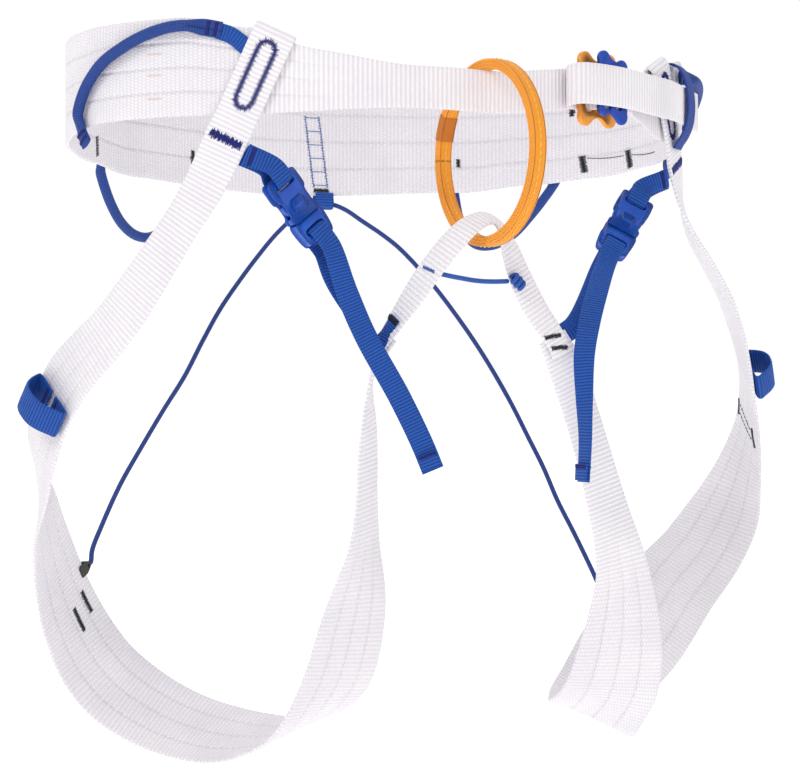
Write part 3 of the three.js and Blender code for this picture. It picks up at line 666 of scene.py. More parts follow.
def belt_satin(path, side, width, pitch=0.36):
    """A satin row on the belt between (degrees, height) points, laid out in millimetres along the belt."""
    path = np.asarray(path, float)
    start, face = path[0, 0], belt_face(side)
    scale = np.linalg.norm(np.subtract(*on_waist(start + np.array([0.5, -0.5]), 0, 0)[0]))
    local = np.stack([(path[:, 0] - start) * scale, path[:, 1]], axis=-1)
    return satin(lambda s, v, extra: face(start + s / scale, v, extra), local, width, pitch)


BUCKLE_ANGLE, BUCKLE_LEVEL, STRAP_WIDTH = -70.5, 1.2, 20
buckle_seat, buckle_out, buckle_along = waist_seat(BUCKLE_ANGLE, BUCKLE_LEVEL)


def at_buckle(s, h, z=0):
    return buckle_seat + buckle_along * s + buckle_out * h + (0, 0, z)


def buckle_stations(*places):
    return [[*at_buckle(*place), 0, 0, STRAP_WIDTH / 2] for place in places]


FRONT_STRAP = belt_stations((-132.3, -129, -125, -120, -115, -108, -99, -90)) + buckle_stations(
    (-37, -3.6, -2.5), (-26, -1.8, -1.2), (-16, -1.1), (0, -0.9), (8, -0.9), (11.4, -0.3), (12.9, 1.8),
    (12.9, 4), (11.5, 5.8), (8.4, 6.1), (5.8, 5.3), (5, 3.4), (4, 1.7), (2, 1.1), (-3, 1.1))
front_web = web_through(FRONT_STRAP, STRAP_THICKNESS, step=0.55)
front = strap("front_strap_webbing", front_web, WHITE_RIBBED, strands=4, rib_height=0.1)
settle(front, "belt", ["front_strap"])

ADJUSTING_STRAP = belt_stations([-47.6]) + waist_stations([
    (-51, 0, -17, 16.5), (-56, 0.6, -12, 11.5), (-60.6, 3, -9.6, 11.2),
]) + buckle_stations(
    (18.5, 6.9), (13, 7.8), (4, 7.9), (-3, 7.6), (-6.4, 6), (-7.6, 3.6), (-9.3, 1.6), (-13, 1.15),
    (-18, 1.3), (-22, 2.6), (-24, 5.4, 0.5), (-23.4, 9, 1), (-20, 11.6, 1.4), (-14, 12.6, 1.5),
    (0, 12.7, 1.5), (14, 12.4, 1),
) + waist_stations([
    (-58.5, 12, -8.8, 11.2), (-52, 11.2, -9, 11), (-47, 10, -9.4, 10.6), (-43, 9.2, -9.7, 10.3),
    (-39, 9.4, -10, 10), (-35.5, 10.6, -10.4, 9.6),
])
tail_web = web_through(ADJUSTING_STRAP, STRAP_THICKNESS, step=0.55)
tail = strap("adjusting_strap_webbing", tail_web, WHITE_RIBBED, rib=2.2, rib_height=0.12)
settle(tail, "belt", ["adjusting_strap"])

# ------------------------------------------------------------------ risers and leg loops
RISER_LEAN, RISER_FOOT_ANGLE, RISER_FOOT_Z = math.radians(24), 138, -27
MM_PER_DEGREE = 2.55             # along the belt, at the risers


def riser_station(side, out, z):
    turn = (z - RISER_FOOT_Z) * math.tan(RISER_LEAN) / MM_PER_DEGREE
    (x, y, z), normal = on_waist(turn - RISER_FOOT_ANGLE, out, z)
    half = np.array([-normal[1] * side, -normal[0], math.tan(RISER_LEAN)]) * math.cos(RISER_LEAN)
    return [-side * x, y, z, *(half * STRAP_WIDTH / 2)]


RIGHT_BAND = [
    (-128.6, -78.4, -28.2, -8.2, 5.4, 3), (-137, -72, -50, -7, 7, 2.2), (-148, -64, -72, -4.8, 8.2, 4.6),
    (-168, -42, -113, -5, 9.8, 6.4), (-184, -15, -143, -4, 13.5, 6), (-185, 14, -176, 1.4, 19, 2.7),
    (-170, 46, -211, 12.4, 16.2, -1.7), (-148, 66, -262, 19, 9, 5), (-129, 63, -294, 19.8, 5, 9.9),
    (-105, 47, -314, 18.4, 6.6, 12), (-82, 15, -322, 18.5, 9.2, 10.4), (-67, -24, -315, 20.9, 9.6, 4.2),
    (-57, -48, -293, 22, 5, -0.8), (-52, -62, -253, 19, 4, -1.2), (-51, -70, -216, 11.4, 8, -0.8),
    (-53, -77, -170, 7.8, 6.1, -0.2), (-55, -84, -139, 3.5, 6.7, 0.4), (-50.5, -93, -120, 0.3, 6.6, 2.2),
]
LEFT_BAND = [
    (30, -111.5, -120, -8.4, -0.5, -0.9), (36, -112.5, -132, -9.4, 0.3, -0.9), (44, -112, -150, -10, 0.1, -1),
    (60, -113, -198, -10.8, 0.4, -1.2), (71, -112, -235, -14, 2.3, -2.1), (76, -104, -272, -20.5, 6.3, -0.2),
    (80, -89, -298, -24.2, 5.5, 4.2), (84, -68, -313, -21.5, 7, 9.5), (93, -54, -313, -16.5, 13.5, 11.7),
    (108, -43, -304, -14.1, 13.8, 14.2), (126, -33, -290, -12.7, 11.6, 18.1),
    (147, -25, -277, -10.5, 13.2, 18.6), (173, -17, -254, -9.1, 16.7, 15.7),
    (197, -14, -233, -5.4, 19.8, 13), (215, -14, -206, -1, 19.4, 12), (219, -25, -170, 5.1, 17, 7.5),
    (205, -41, -138, 7, 13.6, 2.3), (181, -55, -99, 4.1, 11.3, 1.2), (148, -67, -63, 4.4, 9.2, 0.8),
    (137, -73, -48, 6.3, 7.6, 1.6), (128.6, -78.4, -28.2, 8.2, 5.4, 3),
]
BAND_THICKNESS = 1.8


def riser_rows(side):
    """The riser from inside the belt, over its top edge and down its outside."""
    places = [(-2.7, -8), (-2.7, 0), (-2.7, 6), (-2.7, 14.5), (-2.2, 19.4), (0, 21.3), (2.2, 19.4),
              (2.7, 16), (2.7, 10), (2.7, 2), (2.7, -8), (2.7, -18)]
    return [riser_station(side, *place) for place in places]


RIGHT = web_through(riser_rows(-1) + RIGHT_BAND, BAND_THICKNESS, step=1.15)
LEFT = web_through(LEFT_BAND + riser_rows(1)[::-1], BAND_THICKNESS, step=1.15)
RIGHT_FOOT = RIGHT.near(RIGHT_BAND[0][:3])
LEFT_FOOT = LEFT.near(LEFT_BAND[-1][:3])
for side, web in (("right", RIGHT), ("left", LEFT)):
    piece = strap(f"{side}_leg_loop_webbing", web, WHITE, strands=4, rib_height=0, wave=0.12)
    settle(piece, f"{side}_hip", [f"{side}_riser_anchor", f"{side}_leg_band"])

# ------------------------------------------------------------------ bridge strap
BRIDGE = [
    (-44, -103, -102, -2.1, 5.6, 2.4), (-37, -110, -88, -2.8, 5.2, 2.6), (-27, -114.5, -74.5, -2.4, 5.1, 3.2),
    (-17.5, -115.3, -66.6, -1, 5.5, 3.3), (-8.5, -114.2, -64, 0.8, 5.7, 3), (0, -112, -68.6, 3.2, 4.4, 3.4),
    (6, -110.5, -78, 5.1, 2, 3.4), (13, -109.5, -92, 5.9, 0.2, 2.8), (21, -110, -106, 6, -0.4, 2.3),
]
BRIDGE_THICKNESS = 1.6
LAP = (BAND_THICKNESS + BRIDGE_THICKNESS) / 2 + 0.06


def lapped(web, places, side, turn=1):
    """Stations of a strap laid on a face of another one, across the same width."""
    rows = []
    for s in places:
        spot = web.at(s, 0.0, side, LAP - web.thickness / 2)
        half = unit(web.row(web.half, s)) * 6.3 * turn
        rows.append((*spot, *half))
    return rows


BRIDGE_WEB = web_through(
    lapped(RIGHT, (RIGHT.length - 10, RIGHT.length - 3), 1) + BRIDGE + lapped(LEFT, (3, 10), -1, -1),
    BRIDGE_THICKNESS, step=0.575)
BRIDGE_START = BRIDGE_WEB.near((-49, -95, -115))
RING_PLACE = BRIDGE_WEB.near(BRIDGE[4][:3])
for side, ends in (("right", (0, RING_PLACE)), ("left", (RING_PLACE, BRIDGE_WEB.length))):
    piece = strap(f"{side}_bridge_webbing", BRIDGE_WEB.cut(*ends), WHITE_RIBBED, rib_height=0.12)
    settle(piece, f"{side}_bridge", [f"{side}_bridge_strap"])


# ------------------------------------------------------------------ stitching
def face_of(web, side, lift=0.12):
    """A place() for stitches on a webbing: s along it, v across it."""
    return lambda s, v, extra: web.at(s, v, side, lift + extra)


def both_faces(web, path, width):
    return satin(face_of(web, 1), path, width) + satin(face_of(web, -1), path, width)


def stadium(start, length, spacing, count=9):
    """A long oval in (s, v): two straight rows joined by half circles."""
    r = spacing / 2
    turn = np.linspace(-math.pi / 2, math.pi / 2, count)
    far = np.stack([start + length - r + r * np.cos(turn), r * np.sin(turn)], axis=-1)
    near = np.stack([start + r - r * np.cos(turn), -r * np.sin(turn)], axis=-1)
    return np.vstack([far, near])


def sewn(name, lines, where, material=BLACK_THREAD, width=0.5):
    return settle(threads(name, lines, width, material), where)


OVAL_LENGTH, OVAL_WIDTH = 33.5, 8.2
right_oval = RIGHT.near(riser_station(-1, 2.7, 16)[:3]) + 0.5
left_oval = LEFT.near(riser_station(1, 2.7, 16)[:3]) - 0.5 - OVAL_LENGTH
for side, web, start, foot in (("right", RIGHT, right_oval, RIGHT_FOOT + 1.5),
                               ("left", LEFT, left_oval, LEFT_FOOT - 1.5)):
    oval = stadium(start, OVAL_LENGTH, OVAL_WIDTH)
    lines = satin(face_of(web, -1), oval, 2.3, 0.42, closed=True, ragged=0.36)
    lines += satin(face_of(web, 1), oval, 1.4, closed=True)
    bar = [(foot + 0.4 * math.sin(i * 2.7), -7.8 + i * 15.6 / 16) for i in range(17)]
    for shift in (-0.5, 0.5):
        moved = [(s + shift, v) for s, v in bar]
        lines += satin(face_of(web, -1, 0.1 + 0.15 * shift), moved, 2.8, 0.3, ragged=0.3)
    lines += satin(face_of(web, 1), bar, 2.0)
    sewn(f"{side}_riser_stitching", lines, f"{side}_hip", NAVY)

lines = []
for start, stop in (((290.8, 12.8), (302.8, 13.1)), ((295.4, 3.2), (308.3, 3.3))):
    lines += both_faces(RIGHT, np.array([start, stop]) + (RIGHT_FOOT, 0), 2.6)
sewn("right_band_tacks", lines, "right_leg")
sewn("left_band_tacks",
     both_faces(LEFT, [(457, 16.6), (449.5, 14.8)], 2.6)
     + both_faces(LEFT, [(452, -7.4), (442.1, -13.7)], 2.6)
     + dashes(face_of(LEFT, 1), [(455.5, 14), (450, -6)], 2.2, 0.7)
     + dashes(face_of(LEFT, 1), [(451, 13.5), (445, -9)], 2.2, 0.7), "left_leg")

lines = []
for s, v in ((BRIDGE_WEB.length - 10.6, -0.8), (BRIDGE_WEB.length - 4.2, -0.6)):
    lines += both_faces(BRIDGE_WEB, [(s - 1.6, v - 4.2), (s + 1.6, v + 4.2)], 1.9)
sewn("left_bridge_tacks", lines, "left_leg")
sewn("bridge_mark", both_faces(BRIDGE_WEB, [(BRIDGE_START + 31, 3.6), (BRIDGE_START + 32.2, -2.6)], 1.3),
     "right_bridge", BLUE_THREAD)



def belt_tacks(tacks, side, pitch=0.36):
    """Satin bars on the belt, each given as its two ends and its width."""
    return [line for start, stop, width in tacks for line in belt_satin([start, stop], side, width, pitch)]


inner = belt_face(INSIDE)
lines = belt_tacks([((23.4, -12.5), (22.6, -21.5), 4.2), ((8.6, -11), (7.6, -20.5), 4.2),
                    ((111, -15), (111, -22), 2.4), ((26.2, 17), (26.2, 11), 3), ((58, -14), (58, -18), 2.4),
                    ((53.5, -13), (53.5, -17), 2.4), ((83.9, -32.6), (80.9, -32.6), 2.3)], INSIDE)
for a, b in ((22.2, 9.6), (7.2, -4)):
    sag = [(a + (b - a) * t, -13.4 - 3.2 * t * (1 - t)) for t in np.linspace(0, 1, 7)]
    lines += dashes(inner, sag, 0.55, 0.2)
sewn("belt_inside_tacks", lines, "belt")
sewn("belt_outside_tacks", belt_tacks([((189.4, -25), (189.6, -34), 1.7), ((23.4, -12.5), (22.6, -21.5), 2.2),
                                       ((8.6, -11), (7.6, -20.5), 2.2)], OUTSIDE), "belt")
marks = [((-155.3, z), (-152.3, z), 0.9) for z in (11.5, 1.5, -9.5)]
sewn("belt_size_marks", belt_tacks(marks, OUTSIDE, 0.8), "belt", FAINT, 0.22)

# The ladder on the rear belt: two columns of small stitches and single threads for its rungs.
ladder = []
for k in (0, 2.9):
    column = [(85.8 - k, 9), (84.0 - k, -30.5)]
    ladder += belt_satin(column, INSIDE, 1.5, 1.5)
    ladder += dashes(inner, column, 1.5, 0.0)
for i in range(6):
    z, a = 8.4 - i * 7.6, 85.8 - i * 0.35
    spots = np.linspace(a, a - 2.9, 6)
    ladder.append(inner(spots, z + 0 * spots, np.array([-0.2, 0.05, 0.08, 0.08, 0.05, -0.2])))
sewn("belt_ladder_stitching", ladder, "belt", BLUE_THREAD, 0.4)

# ------------------------------------------------------------------ belay loop
BELAY_MIDDLE, BELAY_RADIUS, BELAY_WIDTH, BELAY_THICKNESS = (-8.5, -115, -33), 42.2, 7, 4.6


def loop_point(turn, r, x):
    """A place on the belay loop: turn from the rear limb upward, r outward, x across."""
    radius = BELAY_RADIUS + r
    spots = np.broadcast_arrays(x, radius * np.cos(turn), radius * np.sin(turn))
    return np.stack(spots, axis=-1) + BELAY_MIDDLE


def loop_band(name, start, stop, width, thick, layers, material, count=300):
    """A ring, or part of one, of stacked tape layers with a groove between each two on both edges."""
    h, w = thick / 2, width / 2
    inset, lip = 0.32, 0.14
    side = []
    for i in range(layers):
        low, high = -h + i * thick / layers, -h + (i + 1) * thick / layers
        side += [(low, w - inset), (low + lip, w - 0.08), ((low + high) / 2, w), (high - lip, w - 0.08)]
    side.append((h, w - inset))
    flat = [(h, x) for x in (w * 0.75, w * 0.3, 0, -w * 0.3, -w * 0.75)]
    outline = np.array(side + flat + [(r, -x) for r, x in reversed(side)] + [(-r, -x) for r, x in flat])
    closed_ring = stop - start == 360
    turn = np.radians(np.linspace(start, stop, count, endpoint=not closed_ring))[:, None]
    r, x = outline.T
    across = np.where(np.abs(np.abs(x) - w) < 0.35, r + 9, x)
    weave = np.stack(np.broadcast_arrays(turn * BELAY_RADIUS, across, w), axis=-1)
    faces = ring_faces(count, len(outline), loop=closed_ring)
    return finish_mesh(name, loop_point(turn, r, x), faces, material, weave)


belay = loop_band("belay_loop_tape", 0, 360, BELAY_WIDTH, BELAY_THICKNESS, 3, ORANGE_WEB)
settle(belay, "belay_ring", ["belay_loop"])
# The splice is a thicker stretch of the loop; its darker orange is painted shade where the loop passes under
# the strap.
SPLICE_START, SPLICE_STOP = 13, 30
splice = loop_band("belay_loop_splice_painted_shade", SPLICE_START, SPLICE_STOP, 7.5, 5.2, 2, SHADED_SPLICE_WEB, 40)
settle(splice, "belay_ring")
STITCH_PITCH, STITCH_LENGTH = 3.5, 2.3
first, last = math.radians(SPLICE_STOP + 1), math.radians(SPLICE_START + 358)
stitch = BELAY_THICKNESS / 2 + np.array([-0.2, 0.14, 0.14, -0.2])
stitches = [loop_point(np.linspace(turn, turn + STITCH_LENGTH / BELAY_RADIUS, 4), side * stitch, 0)
            for side in (1, -1) for turn in np.arange(first, last, STITCH_PITCH / BELAY_RADIUS)]
settle(threads("belay_loop_stitching", stitches, 0.75, YELLOW), "belay_ring")


# ------------------------------------------------------------------ waist buckle plates
def arc(x, y, r, start, stop, count=14):
    turn = np.radians(np.linspace(start, stop, count))
    return np.stack([x + r * np.cos(turn), y + r * np.sin(turn)], axis=-1)


def plate_outline(length, height, lobe, dip, taper):
    """A strap plate with round lobes on its corners; two opposite ones stand lower by the taper."""
    x, y = length / 2 - lobe, height / 2 - lobe
    shoulder = lobe * math.sqrt(0.5)
    t = np.linspace(0, 1, 12)[1:-1, None]
    a, b, c = np.array([(-x + shoulder, y + shoulder), (0, y + lobe - dip),
                        (x - shoulder, y - taper + shoulder)])
    edge = a * (1 - t) ** 2 + 2 * b * t * (1 - t) + c * t**2
    half = np.vstack([arc(-x, y, lobe, 200, 45), edge, arc(x, y - taper, lobe, 135, -20)])
    return np.vstack([half, -half])


def buckle_plate(part, place, size, slots, thickness, material):
    matrix = basis(buckle_along, (0, 0, 1), buckle_out, at_buckle(*place))
    holes = [rounded_box(x0, x1, -height / 2, height / 2, 0.12, 3) for x0, x1, height in slots]
    plate = (plate_outline(*size), 0, thickness, 0.6, *holes)
    piece = moulding(f"waist_buckle_{part}_plate", matrix, [plate], material)
    settle(piece, "belt", [f"waist_buckle_{part}"])


buckle_plate("base", (-2, 2.3, 0.2), (27, 36.5, 4.7, 7, 0), [(-9.2, -2.2, 21.4), (1.8, 9, 21)], 2.4,
             ORANGE_METAL)
buckle_plate("slider", (2, 9.1, 1), (21, 35.5, 4, 5.5, 3.6), [(-6.4, -1.6, 21.4), (1.6, 6.4, 21)], 2.2,
             BLUE_METAL)

# ------------------------------------------------------------------ tail keeper
KEEPER_ANGLE, KEEPER_HALF_WIDTH = -43, 6.2
KEEPER_ARCH = [(2.2, 22.5), (4.6, 22), (7.6, 19.5), (10.4, 14), (12, 6), (12.2, -2), (11, -9.5), (8.6, -15),
               (6.2, -18.4), (4.6, -21)]
keeper_web = web_through(hoop(KEEPER_ANGLE, KEEPER_ARCH, KEEPER_HALF_WIDTH), 1.1, step=0.4)
tail_keeper = strap("tail_keeper_elastic", keeper_web, BLUE_ELASTIC, rib=0.9, rib_height=0.03)
settle(tail_keeper, "belt", ["tail_keeper"])


# ------------------------------------------------------------------ keeper loops on the leg bands
def frame_on(stations, place):
    """One frame of a leg band at a share of its stations: middle, across, direction, normal."""
    web = web_at(stations, (place - 1e-4, place, place + 1e-4), BAND_THICKNESS)
    return web.mid[1], web.half[1], web.tangent[1], web.normal[1]


KEEPER_LIFT = 0.85


def keeper_loop(side, stations, place):
    """A wide blue web folded into a D that stands on the band's outer face, with its feet lapped."""
    middle, half, _, normal = frame_on(stations, place)
    across, out = unit(half), -normal
    ahead = np.cross(across, out)
    base = middle + out * (BAND_THICKNESS / 2 + KEEPER_LIFT)
    arch = [(2, 0.85), (8.5, 0.75), (12.6, 0.9), (14.2, 1.7), (13.6, 3.6), (11.6, 7.4), (8.4, 11),
            (4.2, 12.7), (0, 12.8), (-4.6, 12), (-9, 9), (-12.4, 5), (-14.4, 2.4), (-13.6, 1.1),
            (-8.5, 0.75), (-2, 0.85)]
    rows = [[*(base + across * x + out * y), *(ahead * 7.5)] for x, y in arch]
    web = web_through(rows, 1.3, step=0.375)
    blue_web(f"{side}_keeper_web", web, f"{side}_leg", [f"{side}_keeper_loop"], 0.09)
    place = face_of(web, 1 if np.dot(web.normal[3], out) > 0 else -1)
    lines = [line for s in (2.5, web.length - 2.5) for line in satin(place, [(s, -6.5), (s, 6.5)], 1.6)]
    sewn(f"{side}_keeper_tacks", lines, f"{side}_leg", NAVY)


keeper_loop("right", RIGHT_BAND, 4.3 / 17)
keeper_loop("left", LEFT_BAND, 16 / 20)

# ------------------------------------------------------------------ gear loops
GEAR_LOOPS = {
    "front_right": [(-139.5, 4.6, 21), (-142.5, 4.8, 22.5), (-147, 5, 23.5), (-151, 5, 22.5), (-156.5, 5, 19),
                    (-161.5, 5, 14.5), (-167, 5, 8.5), (-172, 5, -0.5), (-175, 5, -9), (-176, 5, -15),
                    (-175.5, 5, -22), (-173.5, 5, -28)],
    "front_left": [(-39, 5.5, 17.5), (-35, 7, 17.8), (-30, 9, 17), (-24, 10, 14.5), (-19, 10, 10),
                   (-14, 9, 3), (-10, 7.5, -5), (-7, 6, -13), (-6, 5, -20), (-7.5, 5, -28)],
    "rear_right": [(137, 4.8, -16), (136, 4.8, -28), (134.4, 5, -36.5), (131.3, 5.4, -48), (127.8, 5.8, -57),
                   (123.8, 6, -62.5), (119.8, 6, -63), (115, 5.8, -56), (111.5, 5.2, -42), (109.5, 4.8, -27),
                   (109, 4.8, -16)],
    "rear_left": [(30.5, 4.8, -14), (31.5, 4.8, -26), (34, 5, -35), (37.3, 5.4, -45), (41.5, 5.8, -56),
                  (46, 6, -62), (49.8, 6, -61), (52.6, 5.6, -50), (54, 5, -34), (54.6, 4.8, -16)],
}
GEAR_TUBE, FLATTER, WIDER = 5.4, 3.0, 2.6     # diameter, and how the sewn ends differ from it
TACK = np.array([(-0.8, -0.3), (-0.6, 0.05), (0, 0.1), (0.6, 0.05), (0.8, -0.3)])   # one thread: along, up
TACK_REACH, TACK_RISE = TACK.T[..., None]
for name, route in GEAR_LOOPS.items():
    line = even_points(on_waist(*np.array(route).T)[0], 0.9)
    outward = unit(line * (1 / WAIST_A**2, 1 / WAIST_B**2, 0))
    run = lengths(line)
    flat = 1 - smooth_step(np.minimum(run, run[-1] - run), 8, 17)
    line = line - outward * (flat * 1.9)[:, None]
    loop = tube(f"{name}_gear_cord", line, GEAR_TUBE - flat * FLATTER, SHEATH, GEAR_TUBE + flat * WIDER, 20,
                outward)
    settle(loop, f"{name}_gear", [f"{name}_gear_loop"])
    tacks = []
    for s in (2.6, 6.4, run[-1] - 2.6, run[-1] - 6.4):
        spot, n = along(line, run, s), unit(along(outward, run, s))
        step = unit(along(np.gradient(line, axis=0), run, s))
        for x in np.linspace(-3.2, 3.2, 17):
            face = (GEAR_TUBE - FLATTER) / 2 + 0.08 - 0.02 * x * x
            tacks.append(spot + np.cross(n, step) * x + step * TACK_REACH + n * (face + TACK_RISE))
    sewn(f"{name}_gear_tacks", tacks, f"{name}_gear", NAVY)

# The front right loop's sewn end, flat under the riser.
TAB = [(-134.2, 2.0, 11.5), (-136, 2.1, 15.5), (-137.8, 2.3, 18.8), (-140.2, 2.6, 21)]
spots, outward = on_waist(*np.array(TAB).T)
step = unit(np.gradient(spots, axis=0))
rows = np.hstack([spots, np.cross(outward, step) * 3.9])
WEAR["front_right_tab"] = ("belt", "front_right_gear", tuple(spots[1] * MM), tuple(spots[-1] * MM))
settle(strap("front_right_gear_tab", web_through(rows, 1.3, step=0.5), BLUE_WEB, rib=1.2, rib_height=0.03),
       "front_right_tab")

# ------------------------------------------------------------------ leg buckles
BLUE_WIDTH, BLUE_THICKNESS = 10.5, 1.4
LEG_BUCKLES = {
    "right": {
        "eye": (-106.8, -86.1, -47), "aim": (0.616, -0.048, -0.786), "facing": (0.15, -0.99, 0),
        "web": (-121.8, -83.6, -36.5, 1.6, -1.6, 4.7),
        "sewn": [(-49.9, -97.6, -111.5, -0.5, 3.2, 1.4), (-52.8, -93.2, -119.3, -0.3, 3.4, 1.8),
                 (-57, -92.5, -123, 1.5, 3.6, 3.5), (-64, -94, -119, 3, 2.4, 3.6),
                 (-71, -94.5, -109, 3.8, 1.4, 3.3), (-78, -90, -95, 4.1, 0.8, 3.2)],
        "tail": [(-76.6, -99, -100.5), (-71, -107, -121), (-60, -118, -148), (-51, -123, -169),
                 (-46, -126, -183)],
        "tail_half": (4.2, -2.4, 2),
        "tail_turn": (0, 0, 0, 0, 0),
    },
    "left": {
        "eye": (101.9, -81.9, -48.5), "aim": (-0.598, -0.169, -0.784), "facing": (-0.5, -0.87, 0),
        "web": (119.2, -84.8, -36.5, 1.6, 1.6, -4.7),
        "sewn": [(32, -107.4, -123, 2.8, -1.2, -4.3), (37, -108.2, -119.3, 3.4, -1.4, -3.7),
                 (43.6, -110, -114.5, 3.9, -1.8, -3)],
        "tail": [(58, -110, -96), (46, -120, -113), (39.5, -125, -129), (37.5, -128, -151), (38, -128, -170),
                 (37, -128, -190)],
        "tail_half": (4.6, -2.6, -0.4),
        "tail_turn": (0, 8, 24, 46, 60, 64),
    },
}


def mirror_y(points):
    """An outline drawn for y above zero, closed with its mirror image."""
    points = np.asarray(points, float)
    return np.vstack([points, points[::-1] * (1, -1)])


def receiver_plates():
    """Receiver: two shells with side windows, a slotted bar block, a thumb pad and two rails."""
    shell = rounded(mirror_y([(0, 4), (0, 8.2), (3, 8.5), (9.5, 8.5), (10.6, 7.0), (14.5, 6.7), (18.2, 7.0),
                              (19.2, 8.3), (22, 8.0), (22, 3)]), 0.22)
    eye = rounded_box(2.6, 5.6, -5.7, 5.7, 0.16)
    block = rounded(mirror_y([(0.6, 4), (0.6, 7.6), (3, 8.0), (9.2, 8.0), (9.2, 3)]))
    thumb = rounded(mirror_y([(12.2, 1.5), (12.2, 3.6), (17.2, 4.4), (19.4, 3.4), (19.4, 1.5)]), 0.25)
    rails = [rounded([(18.9, y - 0.8), (18.9, y + 0.8), (21.8, y + 0.7), (21.8, y - 0.8)])
             for y in (-7.5, 7.5)]
    return [(shell, 1.7, 3.2, 0.5, eye), (shell, -3.2, -1.7, 0.5, eye), (block, -1.9, 1.9, 0.3, eye),
            (thumb, 3.0, 3.55, 0.25), *[(rail, -1.9, 1.9, 0.3) for rail in rails]]


def clasp_plates():
    """Clasp: slotted bar block with shoulders, a centre guide, two sprung prongs with barbs, a ridge."""
    body = rounded(mirror_y([(22.6, 4), (22.6, 7.6), (24.2, 8.2), (27, 8.2), (32, 7.7), (35, 6.8),
                             (35, 3)]), 0.22)
    prong = np.array([(23.5, 4.0), (16, 4.2), (11.6, 3.6), (11.0, 4.6), (12.2, 7.6), (13.6, 8.2), (17.6, 6.9),
                      (17.9, 6.2), (20, 6.1), (23.5, 6.4)])
    ridge = rounded(mirror_y([(32.2, 1.5), (32.2, 5.4), (33.2, 5.4), (33.2, 1.5)]))
    return [(body, -3, 3, 0.8, rounded_box(27.4, 30.6, -5.7, 5.7, 0.16)),
            (rounded_box(13.5, 23.5, -0.9, 0.9, 0.12), -1.4, 1.4, 0.3),
            *[(rounded(prong * (1, y)), -1.45, 1.45, 0.4) for y in (-1, 1)], (ridge, 2.9, 3.3, 0.2)]


for side, buckle in LEG_BUCKLES.items():
    aim = unit(buckle["aim"])
    facing = np.array(buckle["facing"])
    face = unit(facing - np.dot(facing, aim) * aim)
    across = np.cross(face, aim)
    matrix = basis(aim, across, face, buckle["eye"])
    leg, clasp = f"{side}_leg", f"{side}_clasp"

    def run_of(*places):
        return [(*(buckle["eye"] + aim * x + face * z), *(across * BLUE_WIDTH / 2)) for x, z in places]

    for piece, plates, body, node in (("receiver", receiver_plates(), leg, "female"),
                                      ("clasp", clasp_plates(), clasp, "male")):
        settle(moulding(f"{side}_buckle_{piece}", matrix, plates, PLASTIC), body,
               [f"{side}_buckle_{node}"])

    start = buckle["web"]
    rows = [start, *run_of((-6, 3.4), (-1, 4.6), (2.4, 4.2), (4.1, 2.2), (4.1, -2.2), (2.4, -4.2), (-1, -4.6),
                           (-6, -2.4)), (*(start[:3] + face * -2.4), *start[3:])]
    web = web_through(rows, BLUE_THICKNESS, step=0.375)
    blue_web(f"{side}_buckle_short_web", web, leg, [f"{side}_buckle_web"])
    sewn(f"{side}_short_web_tacks", both_faces(web, [(3, -4.4), (3, 4.4)], 1.8), leg, NAVY)

    rows = buckle["sewn"] + run_of((43, -4.4), (33, -4.4), (30, -3.9), (28.8, -2), (28.8, 2), (30, 3.9),
                                   (33, 4.4), (40, 4.8))
    x, y, z = buckle["tail_half"]
    for spot, turn in zip(buckle["tail"], np.radians(buckle["tail_turn"])):
        c, s = math.cos(turn), math.sin(turn)
        rows.append((*spot, x * c + y * s, y * c - x * s, z))
    web = web_through(rows, BLUE_THICKNESS, step=0.375)
    bar = web.near(run_of((28.8, 0))[0][:3])
    blue_web(f"{side}_buckle_sewn_web", web.cut(0, bar), f"{side}_sewn", [f"{side}_buckle_strap"])
    faces = (1, -1) if side == "right" else (-1,)
    lines = [line for up in faces for line in satin(face_of(web, up), [(1.4, -3.6), (1.4, 3.6)], 2.6)]
    sewn(f"{side}_buckle_sewn_tack", lines, f"{side}_sewn")
    blue_web(f"{side}_buckle_tail_web", web.cut(bar, web.length), clasp)
    hem = web.cut(web.length - 9, web.length - 0.4)
    hem.mid = hem.mid + hem.normal * (BLUE_THICKNESS + 0.02)
    blue_web(f"{side}_tail_hem", hem, clasp)
    lines = satin(face_of(web, -1), [(web.length - 7.5, -4.2), (web.length - 7.5, 4.2)], 1.6)
    lines += satin(face_of(hem, 1), [(1.2, -4.2), (1.2, 4.2)], 1.6)
    sewn(f"{side}_tail_hem_tack", lines, clasp, NAVY)

# ------------------------------------------------------------------ rear sleeve, elastic clips
SLEEVE_ANGLE, SLEEVE_HALF_WIDTH = 81.8, 5.5
SLEEVE_FOLD = [(-1.9, -33.8), (-1.95, -35.5), (-2.5, -38.2), (-2.6, -40.2), (-1.9, -42), (0, -42.8),
               (1.9, -42), (2.6, -40.2), (2.5, -38.2), (1.9, -35), (1.9, -27)]
web = web_through(hoop(SLEEVE_ANGLE, SLEEVE_FOLD, SLEEVE_HALF_WIDTH), 1.1, step=0.35)
blue_web("rear_sleeve_web", web, "belt", ["rear_sleeve"], 0.06)
outward = 1 if np.dot(web.normal[-4], waist_seat(SLEEVE_ANGLE)[1]) > 0 else -1
bar = [(web.length - 3, -4.6), (web.length - 3, 4.6)]
sewn("rear_sleeve_tack", satin(face_of(web, outward), bar, 2.2), "belt")


